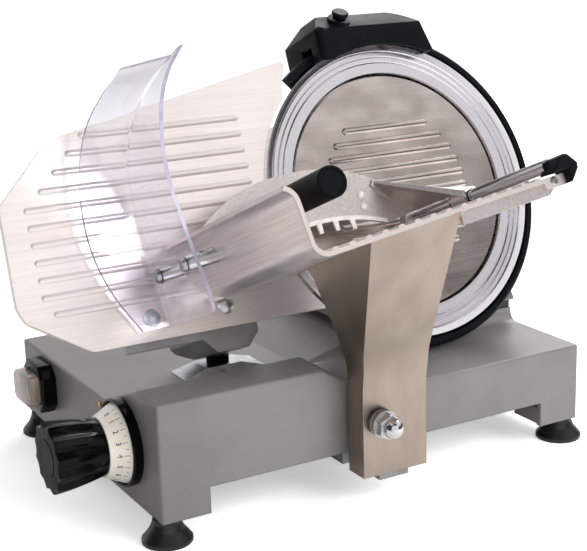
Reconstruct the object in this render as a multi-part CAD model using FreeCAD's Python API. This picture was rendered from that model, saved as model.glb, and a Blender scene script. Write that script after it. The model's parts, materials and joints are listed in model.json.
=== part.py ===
import FreeCAD, Part
import math
import os

from FreeCAD import Placement, Rotation, Vector

# Electric gravity-feed meat slicer, in millimetres.
# The working frame has X to the right, Y to the back and Z up, from the lower
# front left corner of the base casting. At the end everything is moved so that
# the origin is the middle of the bounding box on the surface it stands on.

# Fits and gaps
running_gap = 0.05
press_gap = 0.02
body_gap = 0.4

# Base casting
base_width = 384.0
base_depth = 286.0
base_wall = 5.0
base_edge = 2.0
deck_height = 64.8
beam_height = 90.6
beam_width = 135.6
beam_end = 175.8
beam_depth = 37.6
beam_back = 102.7
front_recess_height = 20.5
front_block_width = 39.0
foot_pad_size = 37.0
foot_pad_height = 14.0
plinth_height = 76.0
plinth_ramp_start = 162.8
plinth_left = 219.0
plinth_front = 89.0
plinth_cove = 8.7
side_pin_y = 107.7
side_pin_z = 59.4
side_pin_radius = 2.0

# Feet
foot_inset_x = 8.7
foot_inset_y = 13.0
foot_height = 19.0
foot_rim_radius = 19.0
foot_rim_height = 3.2
foot_top_radius = 10.3
foot_stud_radius = 4.0

# Blade group, in a frame at the blade's centre: x right, u up the blade, n to the operator
blade_x = 276.1
blade_y = 100.5
blade_tilt = 22.5
blade_radius = 125.0
blade_seat = 69.7
blade_z = blade_radius + blade_seat
blade_bevel = 5.0
blade_bevel_depth = 1.2
blade_plate = 3.0
blade_rim_width = 24.0
blade_dish_radius = blade_radius - blade_rim_width
blade_dish_depth = 12.0
blade_groove_step = 4.6
blade_groove_width = 1.4
blade_groove_depth = 0.7
blade_bore = 20.0
blade_screw_circle = 33.0
blade_screw_radius = 3.0
blade_screw_count = 3
hub_radius = 45.0
hub_height = 5.0
pulley_radius = 50.0
pulley_width = 13.0
pulley_web = 4.0
belt_thickness = 3.0
belt_width = 11.0
belt_gap = 0.3
shaft_radius = 15.0
shaft_bore = 7.0
bearing_outer = 27.5
bearing_width = 13.0
bearing_race = 4.0
cover_margin = 26.0
cover_setback = 4.4
cover_thickness = 2.0
cover_rib_count = 10
cover_rib_pitch = 11.4
cover_rib_top = 54.4
cover_rib_circle = 69.0
cover_rib_height = 1.5
cover_rib_width = 6.0
cover_rod_radius = 5.0
cover_knob_radius = 18.0
cover_knob_length = 22.0

# Blade ring and rear casting
ring_gap = 2.3
ring_thickness = 6.7
ring_depth = 12.0
ring_flange = 4.0
ring_start = -130.0
ring_window_start = 70.0
ring_window_end = 113.0
ring_end = 128.5
dish_margin = 13.0
dish_wall = 4.0
dish_front = 8.0
dish_back = 38.0
boss_radius = 34.0
deflector_start = 140.0
deflector_end = 218.0
deflector_length = 58.0
deflector_sheet = 1.5

# Motor
motor_x = 20.0
motor_u = -74.0
motor_radius = 32.0
motor_face = 50.0
motor_neck_radius = 20.0
motor_length = 78.0
motor_wall = 3.0
stator_inner = 20.0
rotor_gap = 0.5
motor_shaft_radius = 5.0
motor_bearing_outer = 11.0
motor_bearing_width = 6.0
motor_pulley_radius = 10.0
motor_cover_left = 223.5
motor_cover_right = 388.4
motor_cover_wall = 4.0
motor_cover_top = -36.0
motor_cover_taper = 20.0
motor_room = 6.0
motor_well_front = 17.0
motor_well_back = 105.0
motor_cover_back = 232.0
gasket_height = 7.6
gland_inset = 60.0
gland_x = base_width - gland_inset
gland_z = 30.0
gland_radius = 8.0
gland_bore = 3.5
capacitor_radius = 15.0
capacitor_length = 62.0
capacitor_x = 130.0
capacitor_inset = 46.0
capacitor_y = base_depth - capacitor_inset
capacitor_z = 40.0

# Sharpener, on top of the blade
sharpener_left = -58.0
sharpener_right = 53.0
sharpener_low = -13.0
sharpener_shoulder = 12.5
sharpener_roof = 27.0
sharpener_front = 14.0
sharpener_back = -40.0
sharpener_chamfer = 14.0
sharpener_wall = 3.0
sharpener_post_x = -5.0
sharpener_post_n = -27.0
sharpener_post_radius = 6.0
sharpener_post_length = 57.0
stone_radius = 9.0
stone_thickness = 5.0
stone_spindle_radius = 2.5
grind_button_x = -29.0
grind_button_radius = 7.0
deburr_x = 16.0
deburr_u = 2.5
deburr_button_radius = 6.5

# Gauge plate
gauge_gap = 2.0
gauge_setback = 1.5
gauge_thickness = 6.0
gauge_rib_height = 1.2
gauge_rib_width = 5.0
gauge_rib_pitch = 13.0
gauge_rib_count = 11
gauge_rib_right = -138.0
gauge_left = -343.0
gauge_low = -86.0
gauge_travel = 15.0
gauge_screw_radius = 7.0
gauge_screw_u = -69.0
gauge_screw_left = -243.0
gauge_screw_right = -181.0
stud_x = 106.3
stud_y = 117.2
stud_radius = 5.0
collar_radius = 9.2
collar_height = 6.5
dust_cover_height = 6.0
gauge_rod_radius = 6.0
gauge_rod_z = 40.0
gauge_rod_front = 72.0
gauge_rod_back = 214.0
hanger_thickness = 10.0
bracket_left = -266.0
bracket_right = -155.2
bracket_drop = 17.5
bracket_reach = 67.0

# Thickness dial on the left side
dial_y = 60.8
dial_z = 44.5
dial_sweep = 330.0
index_ring_radius = 33.6
index_ring_depth = 7.6
dial_ring_rear = 30.9
dial_ring_front = 22.8
dial_ring_length = 17.4
knob_rear_radius = 22.2
knob_front_radius = 27.1
knob_length = 40.1
knob_flutes = 12
knob_flute_radius = 4.5
knob_cap_radius = 14.1
spindle_radius = 6.0
spindle_bush_radius = 9.0
cam_radius = 28.0
cam_thickness = 10.0
cam_left = 13.0
cam_start_radius = 7.0
cam_groove_depth = 6.0
cam_pin_radius = 3.0
cam_steps = 24

# Switch on the left side
switch_y = 230.0
switch_z = 40.1
switch_width = 45.6
switch_height = 41.2
switch_bezel_depth = 13.0
switch_window_width = 34.7
switch_window_height = 23.9
switch_cover_depth = 10.9
switch_cover_wall = 1.2
button_gap = 1.5
button_travel = 3.0
button_proud = 5.0
button_stem_radius = 2.2
switch_body_depth = 26.0

# Carriage: tray frame is the blade frame turned by tray_tilt, with f along the floor and w up
tray_tilt = 7.8
tray_near = 199.9
tray_far = 4.0
tray_sheet = 3.3
tray_wall_f = -214.5
tray_floor_w = -39.0
tray_end_f = -3.0
tray_bend = 12.0
tray_curl = 10.0
tray_wall_top = 0.5
tray_rib_count = 14
tray_rib_pitch = 13.3
tray_rib_height = 1.8
tray_rib_base = 7.0
tray_rib_crest = 3.0
tray_corner_cut = 34.0
flange_start = -95.0
flange_height = 9.0
flange_sheet = 3.0
flange_setback = 3.5
arm_y = -23.9
arm_left = 155.7
arm_right = 212.7
arm_bottom = 7.0
arm_knee = 92.0
arm_reach = 50.3
arm_top = blade_z + arm_reach
arm_bend = 70.0
arm_waist = 60.0
arm_lean = 0.6175
arm_left_lean = 0.317
arm_right_lean = 0.21
arm_rear = -2.8
arm_sheet = 2.0
stem_width = 26.0
stem_foot = 6.5
stem_foot_z = 1.5
slider_back = 104.5
slider_length = 56.0
slider_bush_wall = 3.0
slider_bush_length = 16.0
nut_x = 170.3
nut_z = 50.5
nut_boss_radius = 8.7
washer_radius = 10.8
washer_thickness = 2.0
washer_spring_radius = 8.7
nut_flats = 18.0
nut_thread_radius = 5.0
rod_radius = 8.0
rod_y = 19.0
rod_z = 30.0
guide_bar_y = 90.0
guide_bar_z = 13.0
guide_bar_width = 10.0
guide_bar_height = 12.0

# Pusher on its rod
pusher_rod_radius = 5.0
pusher_rod_f = -9.0
pusher_rod_w = -27.7
pusher_rod_start = 8.0
pusher_rod_setback = 4.9
pusher_rod_end = tray_near - pusher_rod_setback
pusher_n = 30.0
pusher_sheet = 2.0
pusher_bush_wall = 1.0
pusher_collar_wall = 1.5
collar_start = 80.0
collar_length = 20.0
handle_f = -141.0
handle_w = 12.2
handle_radius = 12.0
handle_end = 130.0
comb_teeth = 6
comb_pitch = 15.0
comb_tooth = 5.0
comb_height = 9.5
comb_start = -152.0

# Clear hand guard
guard_f = -237.0
guard_sheet = 3.0
guard_fold = 0.5
guard_sleeve_radius = 6.0
guard_bolt_radius = 2.5
guard_bolt_w = -8.0
guard_bolt_near = 63.0
guard_bolt_far = 13.0


# Frames

blade_frame = Placement(Vector(blade_x, blade_y, blade_z), Rotation(Vector(1, 0, 0), 90 - blade_tilt))
tray_frame = blade_frame.multiply(Placement(Vector(0, 0, 0), Rotation(Vector(0, 0, 1), tray_tilt)))
across = Vector(1, 0, 0)
back = Vector(0, 1, 0)
up = Vector(0, 0, 1)


# Helpers

def placed(shape, frame):
    copy = shape.copy()
    copy.Placement = frame.multiply(copy.Placement)
    return copy


def box(low, high):
    size = [high[i] - low[i] for i in range(3)]
    return Part.makeBox(size[0], size[1], size[2], Vector(*low))


def cylinder(start, axis, radius, length):
    return Part.makeCylinder(radius, length, Vector(*start), axis)


def tube(start, axis, outer, inner, length):
    return cylinder(start, axis, outer, length).cut(cylinder(start, axis, inner, length))


def prism(points, direction):
    corners = [Vector(*p) for p in points]
    return Part.Face(Part.makePolygon(corners + corners[:1])).extrude(direction)


def along_x(points, start, end):
    return prism([(start, y, z) for y, z in points], Vector(end - start, 0, 0))


def along_y(points, start, end):
    return prism([(x, start, z) for x, z in points], Vector(0, end - start, 0))


def along_z(points, start, end):
    return prism([(x, y, start) for x, y in points], Vector(0, 0, end - start))


def turned(profile):
    corners = [Vector(r, 0, z) for r, z in profile]
    face = Part.Face(Part.makePolygon(corners + corners[:1]))
    return face.revolve(Vector(0, 0, 0), up, 360)


def turned_part(profile, start, end):
    corners = [Vector(r, 0, z) for r, z in profile]
    face = Part.Face(Part.makePolygon(corners + corners[:1]))
    face.rotate(Vector(0, 0, 0), up, start)
    return face.revolve(Vector(0, 0, 0), up, end - start)


def outline(start, steps):
    # A step of one point is a line, and one of two points is an arc through the first.
    edges = []
    here = start
    for step in steps:
        if len(step) == 1:
            edges.append(Part.LineSegment(here, step[0]).toShape())
        else:
            edges.append(Part.Arc(here, step[0], step[1]).toShape())
        here = step[-1]
    if here.distanceToPoint(start) > 1e-6:
        edges.append(Part.LineSegment(here, start).toShape())
    return Part.Face(Part.Wire(edges))


def rounded(points, radii):
    # A flat outline with a round of its own at each corner, 0 for a sharp one.
    corners = [Vector(*p) for p in points]
    count = len(corners)
    ends = []
    for i, corner in enumerate(corners):
        before = (corners[i - 1] - corner).normalize()
        after = (corners[(i + 1) % count] - corner).normalize()
        half = before.getAngle(after) / 2
        if radii[i] == 0:
            ends.append((corner, None, corner))
            continue
        bisector = (before + after).normalize()
        reach = radii[i] / math.tan(half)
        middle = corner + bisector * (radii[i] / math.sin(half) - radii[i])
        ends.append((corner + before * reach, middle, corner + after * reach))
    edges = []
    for i, (first, middle, last) in enumerate(ends):
        if middle is not None:
            edges.append(Part.Arc(first, middle, last).toShape())
        following = ends[(i + 1) % count][0]
        if last.distanceToPoint(following) > 1e-6:
            edges.append(Part.LineSegment(last, following).toShape())
    return Part.Face(Part.Wire(edges))


def bead(start, length, width, height):
    # A pressed rib with round ends on the plane z = 0, running along +x from its first centre.
    radius = (width * width / 4 + height * height) / (2 * height)
    centre = height - radius
    middle = cylinder((start[0], start[1], start[2] + centre), across, radius, length)
    ends = [Part.makeSphere(radius, Vector(start[0] + x, start[1], start[2] + centre)) for x in (0, length)]
    reach = radius + 1
    below = box(
        (start[0] - reach, start[1] - reach, start[2] - 2 * reach),
        (start[0] + length + reach, start[1] + reach, start[2] - height / 2),
    )
    return middle.fuse(ends).cut(below)


def bevelled(disc, radius):
    # A disc with a small bevel on both of its round edges.
    rims = [edge for edge in disc.Edges if abs(edge.Length - 2 * math.pi * radius) < 0.1]
    return disc.makeChamfer(0.8, rims)


# Base

def base_form(inset, bottom):
    block = box((inset, inset, bottom), (base_width - inset, base_depth - inset, deck_height - inset))
    top = beam_height - inset
    deck = deck_height - inset
    beam_side = [(inset, bottom), (inset, top), (beam_depth, top), (beam_back, deck), (beam_back, bottom)]
    beam_front = [(inset, bottom), (inset, top), (beam_width, top), (beam_end, deck), (beam_end, bottom)]
    beam = along_x(beam_side, inset, beam_end).common(along_y(beam_front, inset, beam_back))
    high = plinth_height - inset
    plinth_top = [
        (plinth_ramp_start, bottom), (plinth_ramp_start, deck), (plinth_left, high),
        (base_width - inset, high), (base_width - inset, bottom),
    ]
    cove = plinth_cove
    start = Vector(0, plinth_front - cove, deck)
    eighth = 1 - math.sin(math.pi / 4)
    bend = Vector(0, plinth_front - cove * eighth, deck + cove * eighth)
    plinth_side = outline(start, [
        (bend, Vector(0, plinth_front, deck + cove)),
        (Vector(0, plinth_front, high + 1),),
        (Vector(0, base_depth - inset, high + 1),),
        (Vector(0, base_depth - inset, bottom),),
        (Vector(0, plinth_front - cove, bottom),),
    ]).extrude(Vector(base_width, 0, 0))
    plinth = plinth_side.common(along_y(plinth_top, plinth_front - cove, base_depth - inset))
    return block.fuse([beam, plinth]).removeSplitter()


def foot_centres():
    for x in (foot_inset_x, base_width - foot_inset_x):
        for y in (foot_inset_y, base_depth - foot_inset_y):
            yield x, y


def outer_edges(shape):
    # Edges around the outside of the casting, except those that it stands on.
    found = []
    for edge in shape.Edges:
        middle = edge.BoundBox.Center
        on_side = min(middle.x, base_width - middle.x) < 0.01
        on_end = min(middle.y, base_depth - middle.y) < 0.01
        if (on_side or on_end) and middle.z > 0.01:
            found.append(edge)
    return found


def base_casting():
    outer = base_form(0, 0)
    outer = outer.makeFillet(base_edge, outer_edges(outer))
    shell = outer.cut(base_form(base_wall, -1))
    pads = []
    for x, y in foot_centres():
        low_x = 0 if x < base_width / 2 else base_width - foot_pad_size
        low_y = 0 if y < base_depth / 2 else base_depth - foot_pad_size
        low = (low_x, low_y, 0)
        high = (low_x + foot_pad_size, low_y + foot_pad_size, foot_pad_height)
        pads.append(box(low, high))
    bosses = []
    for x in (base_wall - 1, base_width - base_wall - 11):
        bosses.append(cylinder((x, rod_y, rod_z), across, rod_radius + 4, 12))
        bosses.append(box(
            (x, guide_bar_y - 4, guide_bar_z - 4),
            (x + 12, guide_bar_y + guide_bar_width + 4, guide_bar_z + guide_bar_height + 4),
        ))
    hangers = (gauge_rod_front, deck_height + 9), (gauge_rod_back - hanger_thickness, deck_height - 3)
    for y, top in hangers:
        bosses.append(box(
            (stud_x - gauge_rod_radius - 4, y, gauge_rod_z - gauge_rod_radius - 4),
            (stud_x + gauge_rod_radius + 4, y + hanger_thickness, top),
        ))
    inside = pads + bosses + capacitor_saddles()
    casting = shell.fuse([part.common(outer) for part in inside]).removeSplitter()
    reach = foot_pad_size + 1
    recess_end = base_width - front_block_width
    cuts = [
        box((front_block_width, -1, -1), (recess_end, base_wall + 1, front_recess_height)),
        box((front_block_width, base_wall - 1, -1), (recess_end, reach, rod_z - rod_radius - 5)),
        cylinder((base_wall, rod_y, rod_z), across, rod_radius + press_gap, base_width - 2 * base_wall),
        box(
            (base_wall, guide_bar_y, guide_bar_z),
            (base_width - base_wall, guide_bar_y + guide_bar_width, guide_bar_z + guide_bar_height),
        ),
        cylinder((stud_x, gauge_rod_front, gauge_rod_z), back, gauge_rod_radius + press_gap,
                 gauge_rod_back - gauge_rod_front),
        cylinder((-1, dial_y, dial_z), across, spindle_bush_radius + press_gap, base_wall + 2),
        cylinder((-1, side_pin_y, side_pin_z), across, side_pin_radius + press_gap, base_wall + 2),
        box(
            (-1, switch_y - switch_window_width / 2 + 1, switch_z - switch_window_height / 2 + 1),
            (base_wall + 1, switch_y + switch_window_width / 2 - 1, switch_z + switch_window_height / 2 - 1),
        ),
        stud_slot(),
        motor_well(),
        cylinder((gland_x, base_depth + 1, gland_z), -back, gland_radius + press_gap, base_wall + 2),
    ]
    for x, y in foot_centres():
        cuts.append(cylinder((x, y, -1), up, foot_stud_radius + press_gap, foot_pad_height + 5))
    return casting.cut(cuts)


def stud_slot():
    half = stud_radius + 1.5
    start = stud_y
    end = stud_y + gauge_travel
    low = deck_height - base_wall - 1
    height = base_wall + 2
    straight = box((stud_x - half, start, low), (stud_x + half, end, low + height))
    ends = [cylinder((stud_x, y, low), up, half, height) for y in (start, end)]
    return straight.fuse(ends)


def motor_room_box(low, high):
    centre = blade_x + motor_x
    half = motor_radius + motor_room
    return box(
        (centre - half, plinth_front + motor_well_front, low),
        (centre + half, plinth_front + motor_well_back, high),
    )


def motor_well():
    # Opening in the plinth that the lower part of the motor hangs through.
    return motor_room_box(deck_height - base_wall - 2, plinth_height + 1)


def foot():
    waist = (foot_top_radius + foot_rim_radius) / 2 - 1.5
    profile = [
        (foot_stud_radius + press_gap, 0), (foot_top_radius, 0), (foot_top_radius + 0.8, -foot_height * 0.2),
        (waist, -foot_height * 0.45), (foot_rim_radius, -foot_height + foot_rim_height),
        (foot_rim_radius, -foot_height + 0.6), (foot_rim_radius - 0.6, -foot_height),
        (foot_stud_radius + press_gap, -foot_height),
    ]
    return turned(profile)


def foot_studs():
    length = foot_pad_height + foot_height - 6
    low = foot_pad_height - length + 3
    return Part.Compound([cylinder((x, y, low), up, foot_stud_radius, length) for x, y in foot_centres()])


def cable_gland():
    # Inlet of the supply lead, in the rear wall.
    inside = base_depth - base_wall - 8
    body = cylinder((gland_x, inside, gland_z), back, gland_radius, base_depth - inside)
    collar = cylinder((gland_x, base_depth, gland_z), back, gland_radius + 3, 6)
    tip = Vector(gland_x, base_depth + 6, gland_z)
    nose = Part.makeCone(gland_radius + 1, gland_radius - 1, 8, tip, back)
    bore = cylinder((gland_x, inside - 1, gland_z), back, gland_bore, 40)
    return body.fuse([collar, nose]).cut(bore)


def side_pin():
    return cylinder((-1.2, side_pin_y, side_pin_z), across, side_pin_radius, base_wall + 1.2)


# Carriage guides in the base

def carriage_rod():
    length = base_width - 2 * base_wall
    return cylinder((base_wall, rod_y, rod_z), across, rod_radius, length)


def guide_bar():
    gap = press_gap
    return box(
        (base_wall, guide_bar_y + gap, guide_bar_z + gap),
        (base_width - base_wall, guide_bar_y + guide_bar_width - gap, guide_bar_z + guide_bar_height - gap),
    )


# Blade group, in the blade frame

def blade_front(radius):
    # Height of the blade's front face at a radius.
    inner = blade_radius - blade_bevel
    if radius >= inner:
        return -blade_bevel_depth * (blade_radius - radius) / blade_bevel
    return -blade_bevel_depth - (inner - radius) * 0.06


def blade():
    front = [(blade_radius, -0.3), (blade_radius, 0), (blade_radius - blade_bevel, -blade_bevel_depth)]
    for i in range(3):
        centre = blade_radius - blade_bevel - 1 - i * blade_groove_step
        half = blade_groove_width / 2
        front.append((centre + half, blade_front(centre + half)))
        front.append((centre, blade_front(centre) - blade_groove_depth))
        front.append((centre - half, blade_front(centre - half)))
    step = blade_dish_radius
    floor = -blade_dish_depth + blade_plate
    front += [(step, blade_front(step)), (step - 1.5, floor), (blade_bore, floor)]
    rear = [
        (blade_bore, -blade_dish_depth), (step - 2.5, -blade_dish_depth),
        (step + 2, blade_front(step) - blade_plate),
        (blade_radius - 2 * blade_bevel, -blade_bevel_depth - blade_plate),
    ]
    disc = turned(front + rear)
    return disc.cut(blade_screw_shapes(blade_screw_radius + press_gap, 0.5))


def blade_screw_shapes(radius, extra):
    shapes = []
    for i in range(blade_screw_count):
        angle = 2 * math.pi * i / blade_screw_count + math.pi / 2
        x = blade_screw_circle * math.cos(angle)
        u = blade_screw_circle * math.sin(angle)
        shapes.append(cylinder((x, u, -blade_dish_depth - 4), up, radius, blade_plate + 4 + extra))
    return shapes


def blade_screws():
    head_low = -blade_dish_depth + blade_plate
    screws = []
    for shank in blade_screw_shapes(blade_screw_radius, 0):
        centre = shank.BoundBox.Center
        head = Part.makeCone(5.2, 4.2, 1.8, Vector(centre.x, centre.y, head_low), up)
        slot = box((centre.x - 6, centre.y - 0.5, head_low + 1), (centre.x + 6, centre.y + 0.5, head_low + 2))
        screws.append(shank.fuse(head).cut(slot))
    return Part.Compound(screws)


def blade_pulley():
    top = -blade_dish_depth
    rim_top = top - hub_height
    low = rim_top - pulley_width
    groove = pulley_width / 4
    profile = [
        (shaft_radius + press_gap, top), (hub_radius, top), (hub_radius, rim_top), (pulley_radius, rim_top),
    ]
    for i in range(3):
        middle = rim_top - (i + 1) * groove
        profile.append((pulley_radius, middle + 1))
        profile.append((pulley_radius - 1.2, middle))
        profile.append((pulley_radius, middle - 1))
    profile += [
        (pulley_radius, low), (pulley_radius - 5, low), (pulley_radius - 5, rim_top - pulley_web),
        (shaft_radius + 6, rim_top - pulley_web), (shaft_radius + 6, low), (shaft_radius + press_gap, low),
    ]
    return turned(profile).cut(blade_screw_shapes(blade_screw_radius + press_gap, 0.5))


def blade_shaft():
    top = -blade_dish_depth + blade_plate - 0.5
    profile = [
        (shaft_bore, top), (shaft_radius, top), (shaft_radius, -dish_back - 2 * bearing_width - 2),
        (shaft_bore, -dish_back - 2 * bearing_width - 2),
    ]
    return turned(profile)


def ball_bearing(inner, outer, width, race, top):
    low = top - width
    rings = [
        turned([(inner, low), (inner + race, low), (inner + race, top), (inner, top)]),
        turned([(outer - race, low), (outer, low), (outer, top), (outer - race, top)]),
    ]
    shield = turned([
        (inner + race, low + 1), (outer - race, low + 1), (outer - race, top - 1), (inner + race, top - 1),
    ])
    return rings[0].fuse([rings[1], shield])


def front_bearing():
    top = -dish_back + 2
    return ball_bearing(shaft_radius + running_gap, bearing_outer, bearing_width, bearing_race, top)


def rear_bearing():
    top = -dish_back + 2 - bearing_width - 1
    return ball_bearing(shaft_radius + running_gap, bearing_outer, bearing_width, bearing_race, top)


def cover_radius():
    return blade_radius - cover_margin


def blade_cover():
    radius = cover_radius()
    face = -cover_setback
    back_face = face - cover_thickness
    disc = turned([
        (0, back_face), (radius - 3, back_face), (radius - 3, back_face - 1.5), (radius, back_face - 1.5),
        (radius, face - 1), (radius - 1, face), (0, face),
    ])
    hub = cylinder((0, 0, back_face - 2), up, 12, 2)
    ribs = []
    for i in range(cover_rib_count):
        u = cover_rib_top - i * cover_rib_pitch
        half = math.sqrt(cover_rib_circle ** 2 - u ** 2) - cover_rib_width / 2
        ribs.append(bead((-half, u, face), 2 * half, cover_rib_width, cover_rib_height))
    bore = cylinder((0, 0, back_face - 3), up, cover_rod_radius * 0.7, 4)
    return disc.fuse([hub] + ribs).cut(bore)


def cover_rod():
    top = -cover_setback - cover_thickness - 2
    low = -dish_back - 2 * bearing_width - 8
    rod = cylinder((0, 0, low), up, cover_rod_radius, top - low)
    tip = cylinder((0, 0, top), up, cover_rod_radius * 0.7 - press_gap, 1.5)
    tail = cylinder((0, 0, low - 12), up, cover_rod_radius * 0.7, 12)
    return rod.fuse([tip, tail])


def cover_knob():
    top = -dish_back - 2 * bearing_width - 2 - body_gap
    low = top - cover_knob_length
    inner_top = -dish_back - 2 * bearing_width - 8
    knob = turned([
        (0, low), (cover_knob_radius - 2, low), (cover_knob_radius, low + 2), (cover_knob_radius, low + 13),
        (11, top), (0, top),
    ])
    seat = cylinder((0, 0, inner_top), up, cover_rod_radius + press_gap, 10)
    thread = cylinder((0, 0, inner_top - 12), up, cover_rod_radius * 0.7 + press_gap, 13)
    grips = []
    for i in range(6):
        angle = math.pi * i / 3
        reach = cover_knob_radius + 3
        grips.append(cylinder((reach * math.cos(angle), reach * math.sin(angle), low - 1), up, 5.5, 16))
    return knob.cut([seat, thread] + grips)


# Blade ring and rear casting, in the blade frame

def dish_radius():
    return blade_radius - dish_margin


def ring_inner():
    return blade_radius + ring_gap


def blade_ring():
    inner = ring_inner()
    outer = inner + ring_thickness
    profile = [
        (inner, -ring_depth + ring_flange), (inner, -0.8), (inner + 0.8, 0), (outer - 2.5, 0), (outer, -2.5),
        (outer, -ring_depth), (dish_radius() + press_gap, -ring_depth),
        (dish_radius() + press_gap, -ring_depth + ring_flange),
    ]
    spans = ((ring_start, ring_window_start), (ring_window_end, ring_end))
    return Part.Compound([turned_part(profile, start, end) for start, end in spans])


def blade_housing():
    outer = dish_radius()
    dish = turned([
        (0, -dish_back), (outer, -dish_back), (outer, -dish_front), (outer - dish_wall, -dish_front),
        (outer - dish_wall, -dish_back + dish_wall), (0, -dish_back + dish_wall),
    ])
    boss_low = -dish_back - 2 * bearing_width - 1
    boss = cylinder((0, 0, boss_low), up, boss_radius, -dish_back - boss_low + 1)
    post = box(
        (sharpener_post_x - 9, outer - 8, sharpener_post_n - 9),
        (sharpener_post_x + 9, blade_radius - 1, sharpener_post_n + 9),
    )
    post = post.makeFillet(3, [e for e in post.Edges if e.BoundBox.YLength > 5])
    bearing_seat = cylinder((0, 0, boss_low + 2), up, bearing_outer + press_gap, 2 * bearing_width + 10)
    shaft_hole = cylinder((0, 0, boss_low - 1), up, shaft_radius + 2, 10)
    motor_hole = cylinder((motor_x, motor_u, -dish_back - 1), up, motor_shaft_radius + 2, dish_wall + 2)
    post_hole = cylinder(
        (sharpener_post_x, outer - dish_wall - 10, sharpener_post_n), back,
        sharpener_post_radius + running_gap, blade_radius - outer + dish_wall + 20,
    )
    below = placed(box((-500, -500, -500), (900, 900, plinth_height + gasket_height)), blade_frame.inverse())
    return dish.fuse([boss, post, housing_pedestal()]).removeSplitter().cut(
        [below, bearing_seat, shaft_hole, motor_hole, post_hole, dish_cavity()])


def dish_cavity():
    radius = dish_radius() - dish_wall
    return cylinder((0, 0, -dish_back + dish_wall), up, radius, dish_back)


def seat_u(n):
    # u of the plane that the rear casting stands on, at a depth n.
    top = plinth_height + gasket_height
    tilt = math.radians(blade_tilt)
    return (top - blade_z - n * math.sin(tilt)) / math.cos(tilt)


def housing_pedestal():
    # Foot of the dish: a slab in the blade's plane, and the flange that it is bolted down by.
    seat = plinth_height + gasket_height
    low = seat_u(-dish_back) - 30
    left = motor_cover_left - blade_x
    right = motor_cover_right - blade_x
    slab = along_z([(left, low), (right, low), (right - 12, motor_cover_top), (60, -10), (-60, -10)],
                   -dish_back, -dish_back + 8)
    front = plinth_front + 4
    middle = blade_x + motor_x
    half = motor_radius + motor_room
    start = motor_cover_left + 9
    end = base_width - 6
    rear = plinth_front + motor_well_back - 10
    top = seat + 6
    flange = [
        box((start, front, seat), (end, plinth_front + motor_well_front - 1, top)),
        box((start, front, seat), (middle - half - 2, rear, top)),
        box((middle + half + 2, front, seat), (end, rear, top)),
    ]
    ahead = placed(box((-500, -500, -dish_back + 4), (500, 500, 500)), blade_frame)
    return slab.fuse([placed(part.cut(ahead), blade_frame.inverse()) for part in flange])


def slice_deflector():
    inner = dish_radius() + press_gap
    outer = inner + deflector_sheet
    top = -ring_depth - 1
    low = top - deflector_length
    profile = [(inner, low), (outer, low), (outer, top), (inner, top)]
    return turned_part(profile, deflector_start, deflector_end)


# Motor and belt, in the blade frame

def motor_axis(shape):
    return shape.translated(Vector(motor_x, motor_u, 0))


def motor_can():
    top = -motor_face
    low = top - motor_length
    can = turned([
        (motor_bearing_outer, top), (motor_radius, top), (motor_radius, low), (0, low), (0, low + motor_wall),
        (motor_radius - motor_wall, low + motor_wall), (motor_radius - motor_wall, top - motor_wall),
        (motor_bearing_outer, top - motor_wall),
    ])
    seats = [
        tube((0, 0, z), up, motor_bearing_outer + 3, motor_bearing_outer, motor_bearing_width)
        for z in (top - motor_wall - motor_bearing_width, low + motor_wall)
    ]
    neck = tube((0, 0, top - 1), up, motor_neck_radius, motor_bearing_outer, motor_face - dish_back + 1)
    return motor_axis(can.fuse(seats + [neck]).removeSplitter())


def stator():
    top = -motor_face - motor_wall - 12
    low = -motor_face - motor_length + motor_wall + 12
    core = tube((0, 0, low), up, motor_radius - motor_wall - press_gap, stator_inner, top - low)
    return motor_axis(core)


def rotor():
    top = -motor_face - motor_wall - 12
    low = -motor_face - motor_length + motor_wall + 12
    core = tube((0, 0, low), up, stator_inner - rotor_gap, motor_shaft_radius + press_gap, top - low)
    return motor_axis(core)


def motor_shaft():
    top = -blade_dish_depth - hub_height
    low = -motor_face - motor_length + motor_wall + 1
    return motor_axis(cylinder((0, 0, low), up, motor_shaft_radius, top - low))


def motor_bearings():
    tops = (-motor_face - motor_wall, -motor_face - motor_length + motor_wall + motor_bearing_width)
    return Part.Compound([
        motor_axis(ball_bearing(
            motor_shaft_radius + running_gap, motor_bearing_outer - press_gap, motor_bearing_width, 1.8, top))
        for top in tops
    ])


def motor_pulley():
    top = -blade_dish_depth - hub_height
    low = top - pulley_width
    wheel = tube((0, 0, low), up, motor_pulley_radius, motor_shaft_radius + press_gap, pulley_width)
    return motor_axis(wheel)


def belt_outline(large, small):
    # Two arcs and the two tangents that join them, from the blade's axis to the motor's.
    distance = math.hypot(motor_x, motor_u)
    toward = math.atan2(motor_u, motor_x)
    side = math.acos((large - small) / distance)
    centre = Vector(motor_x, motor_u, 0)

    def point(middle, radius, angle):
        return middle + Vector(radius * math.cos(angle), radius * math.sin(angle), 0)

    origin = Vector(0, 0, 0)
    first = point(origin, large, toward - side)
    return outline(first, [
        (point(centre, small, toward - side),),
        (point(centre, small, toward), point(centre, small, toward + side)),
        (point(origin, large, toward + side),),
        (point(origin, large, toward + math.pi), first),
    ])


def drive_belt():
    low = -blade_dish_depth - hub_height - (pulley_width + belt_width) / 2
    large = pulley_radius + belt_gap
    small = motor_pulley_radius + belt_gap
    outer = belt_outline(large + belt_thickness, small + belt_thickness).extrude(Vector(0, 0, belt_width))
    inner = belt_outline(large, small).extrude(Vector(0, 0, belt_width))
    return outer.cut(inner).translated(Vector(0, 0, low))


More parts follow.
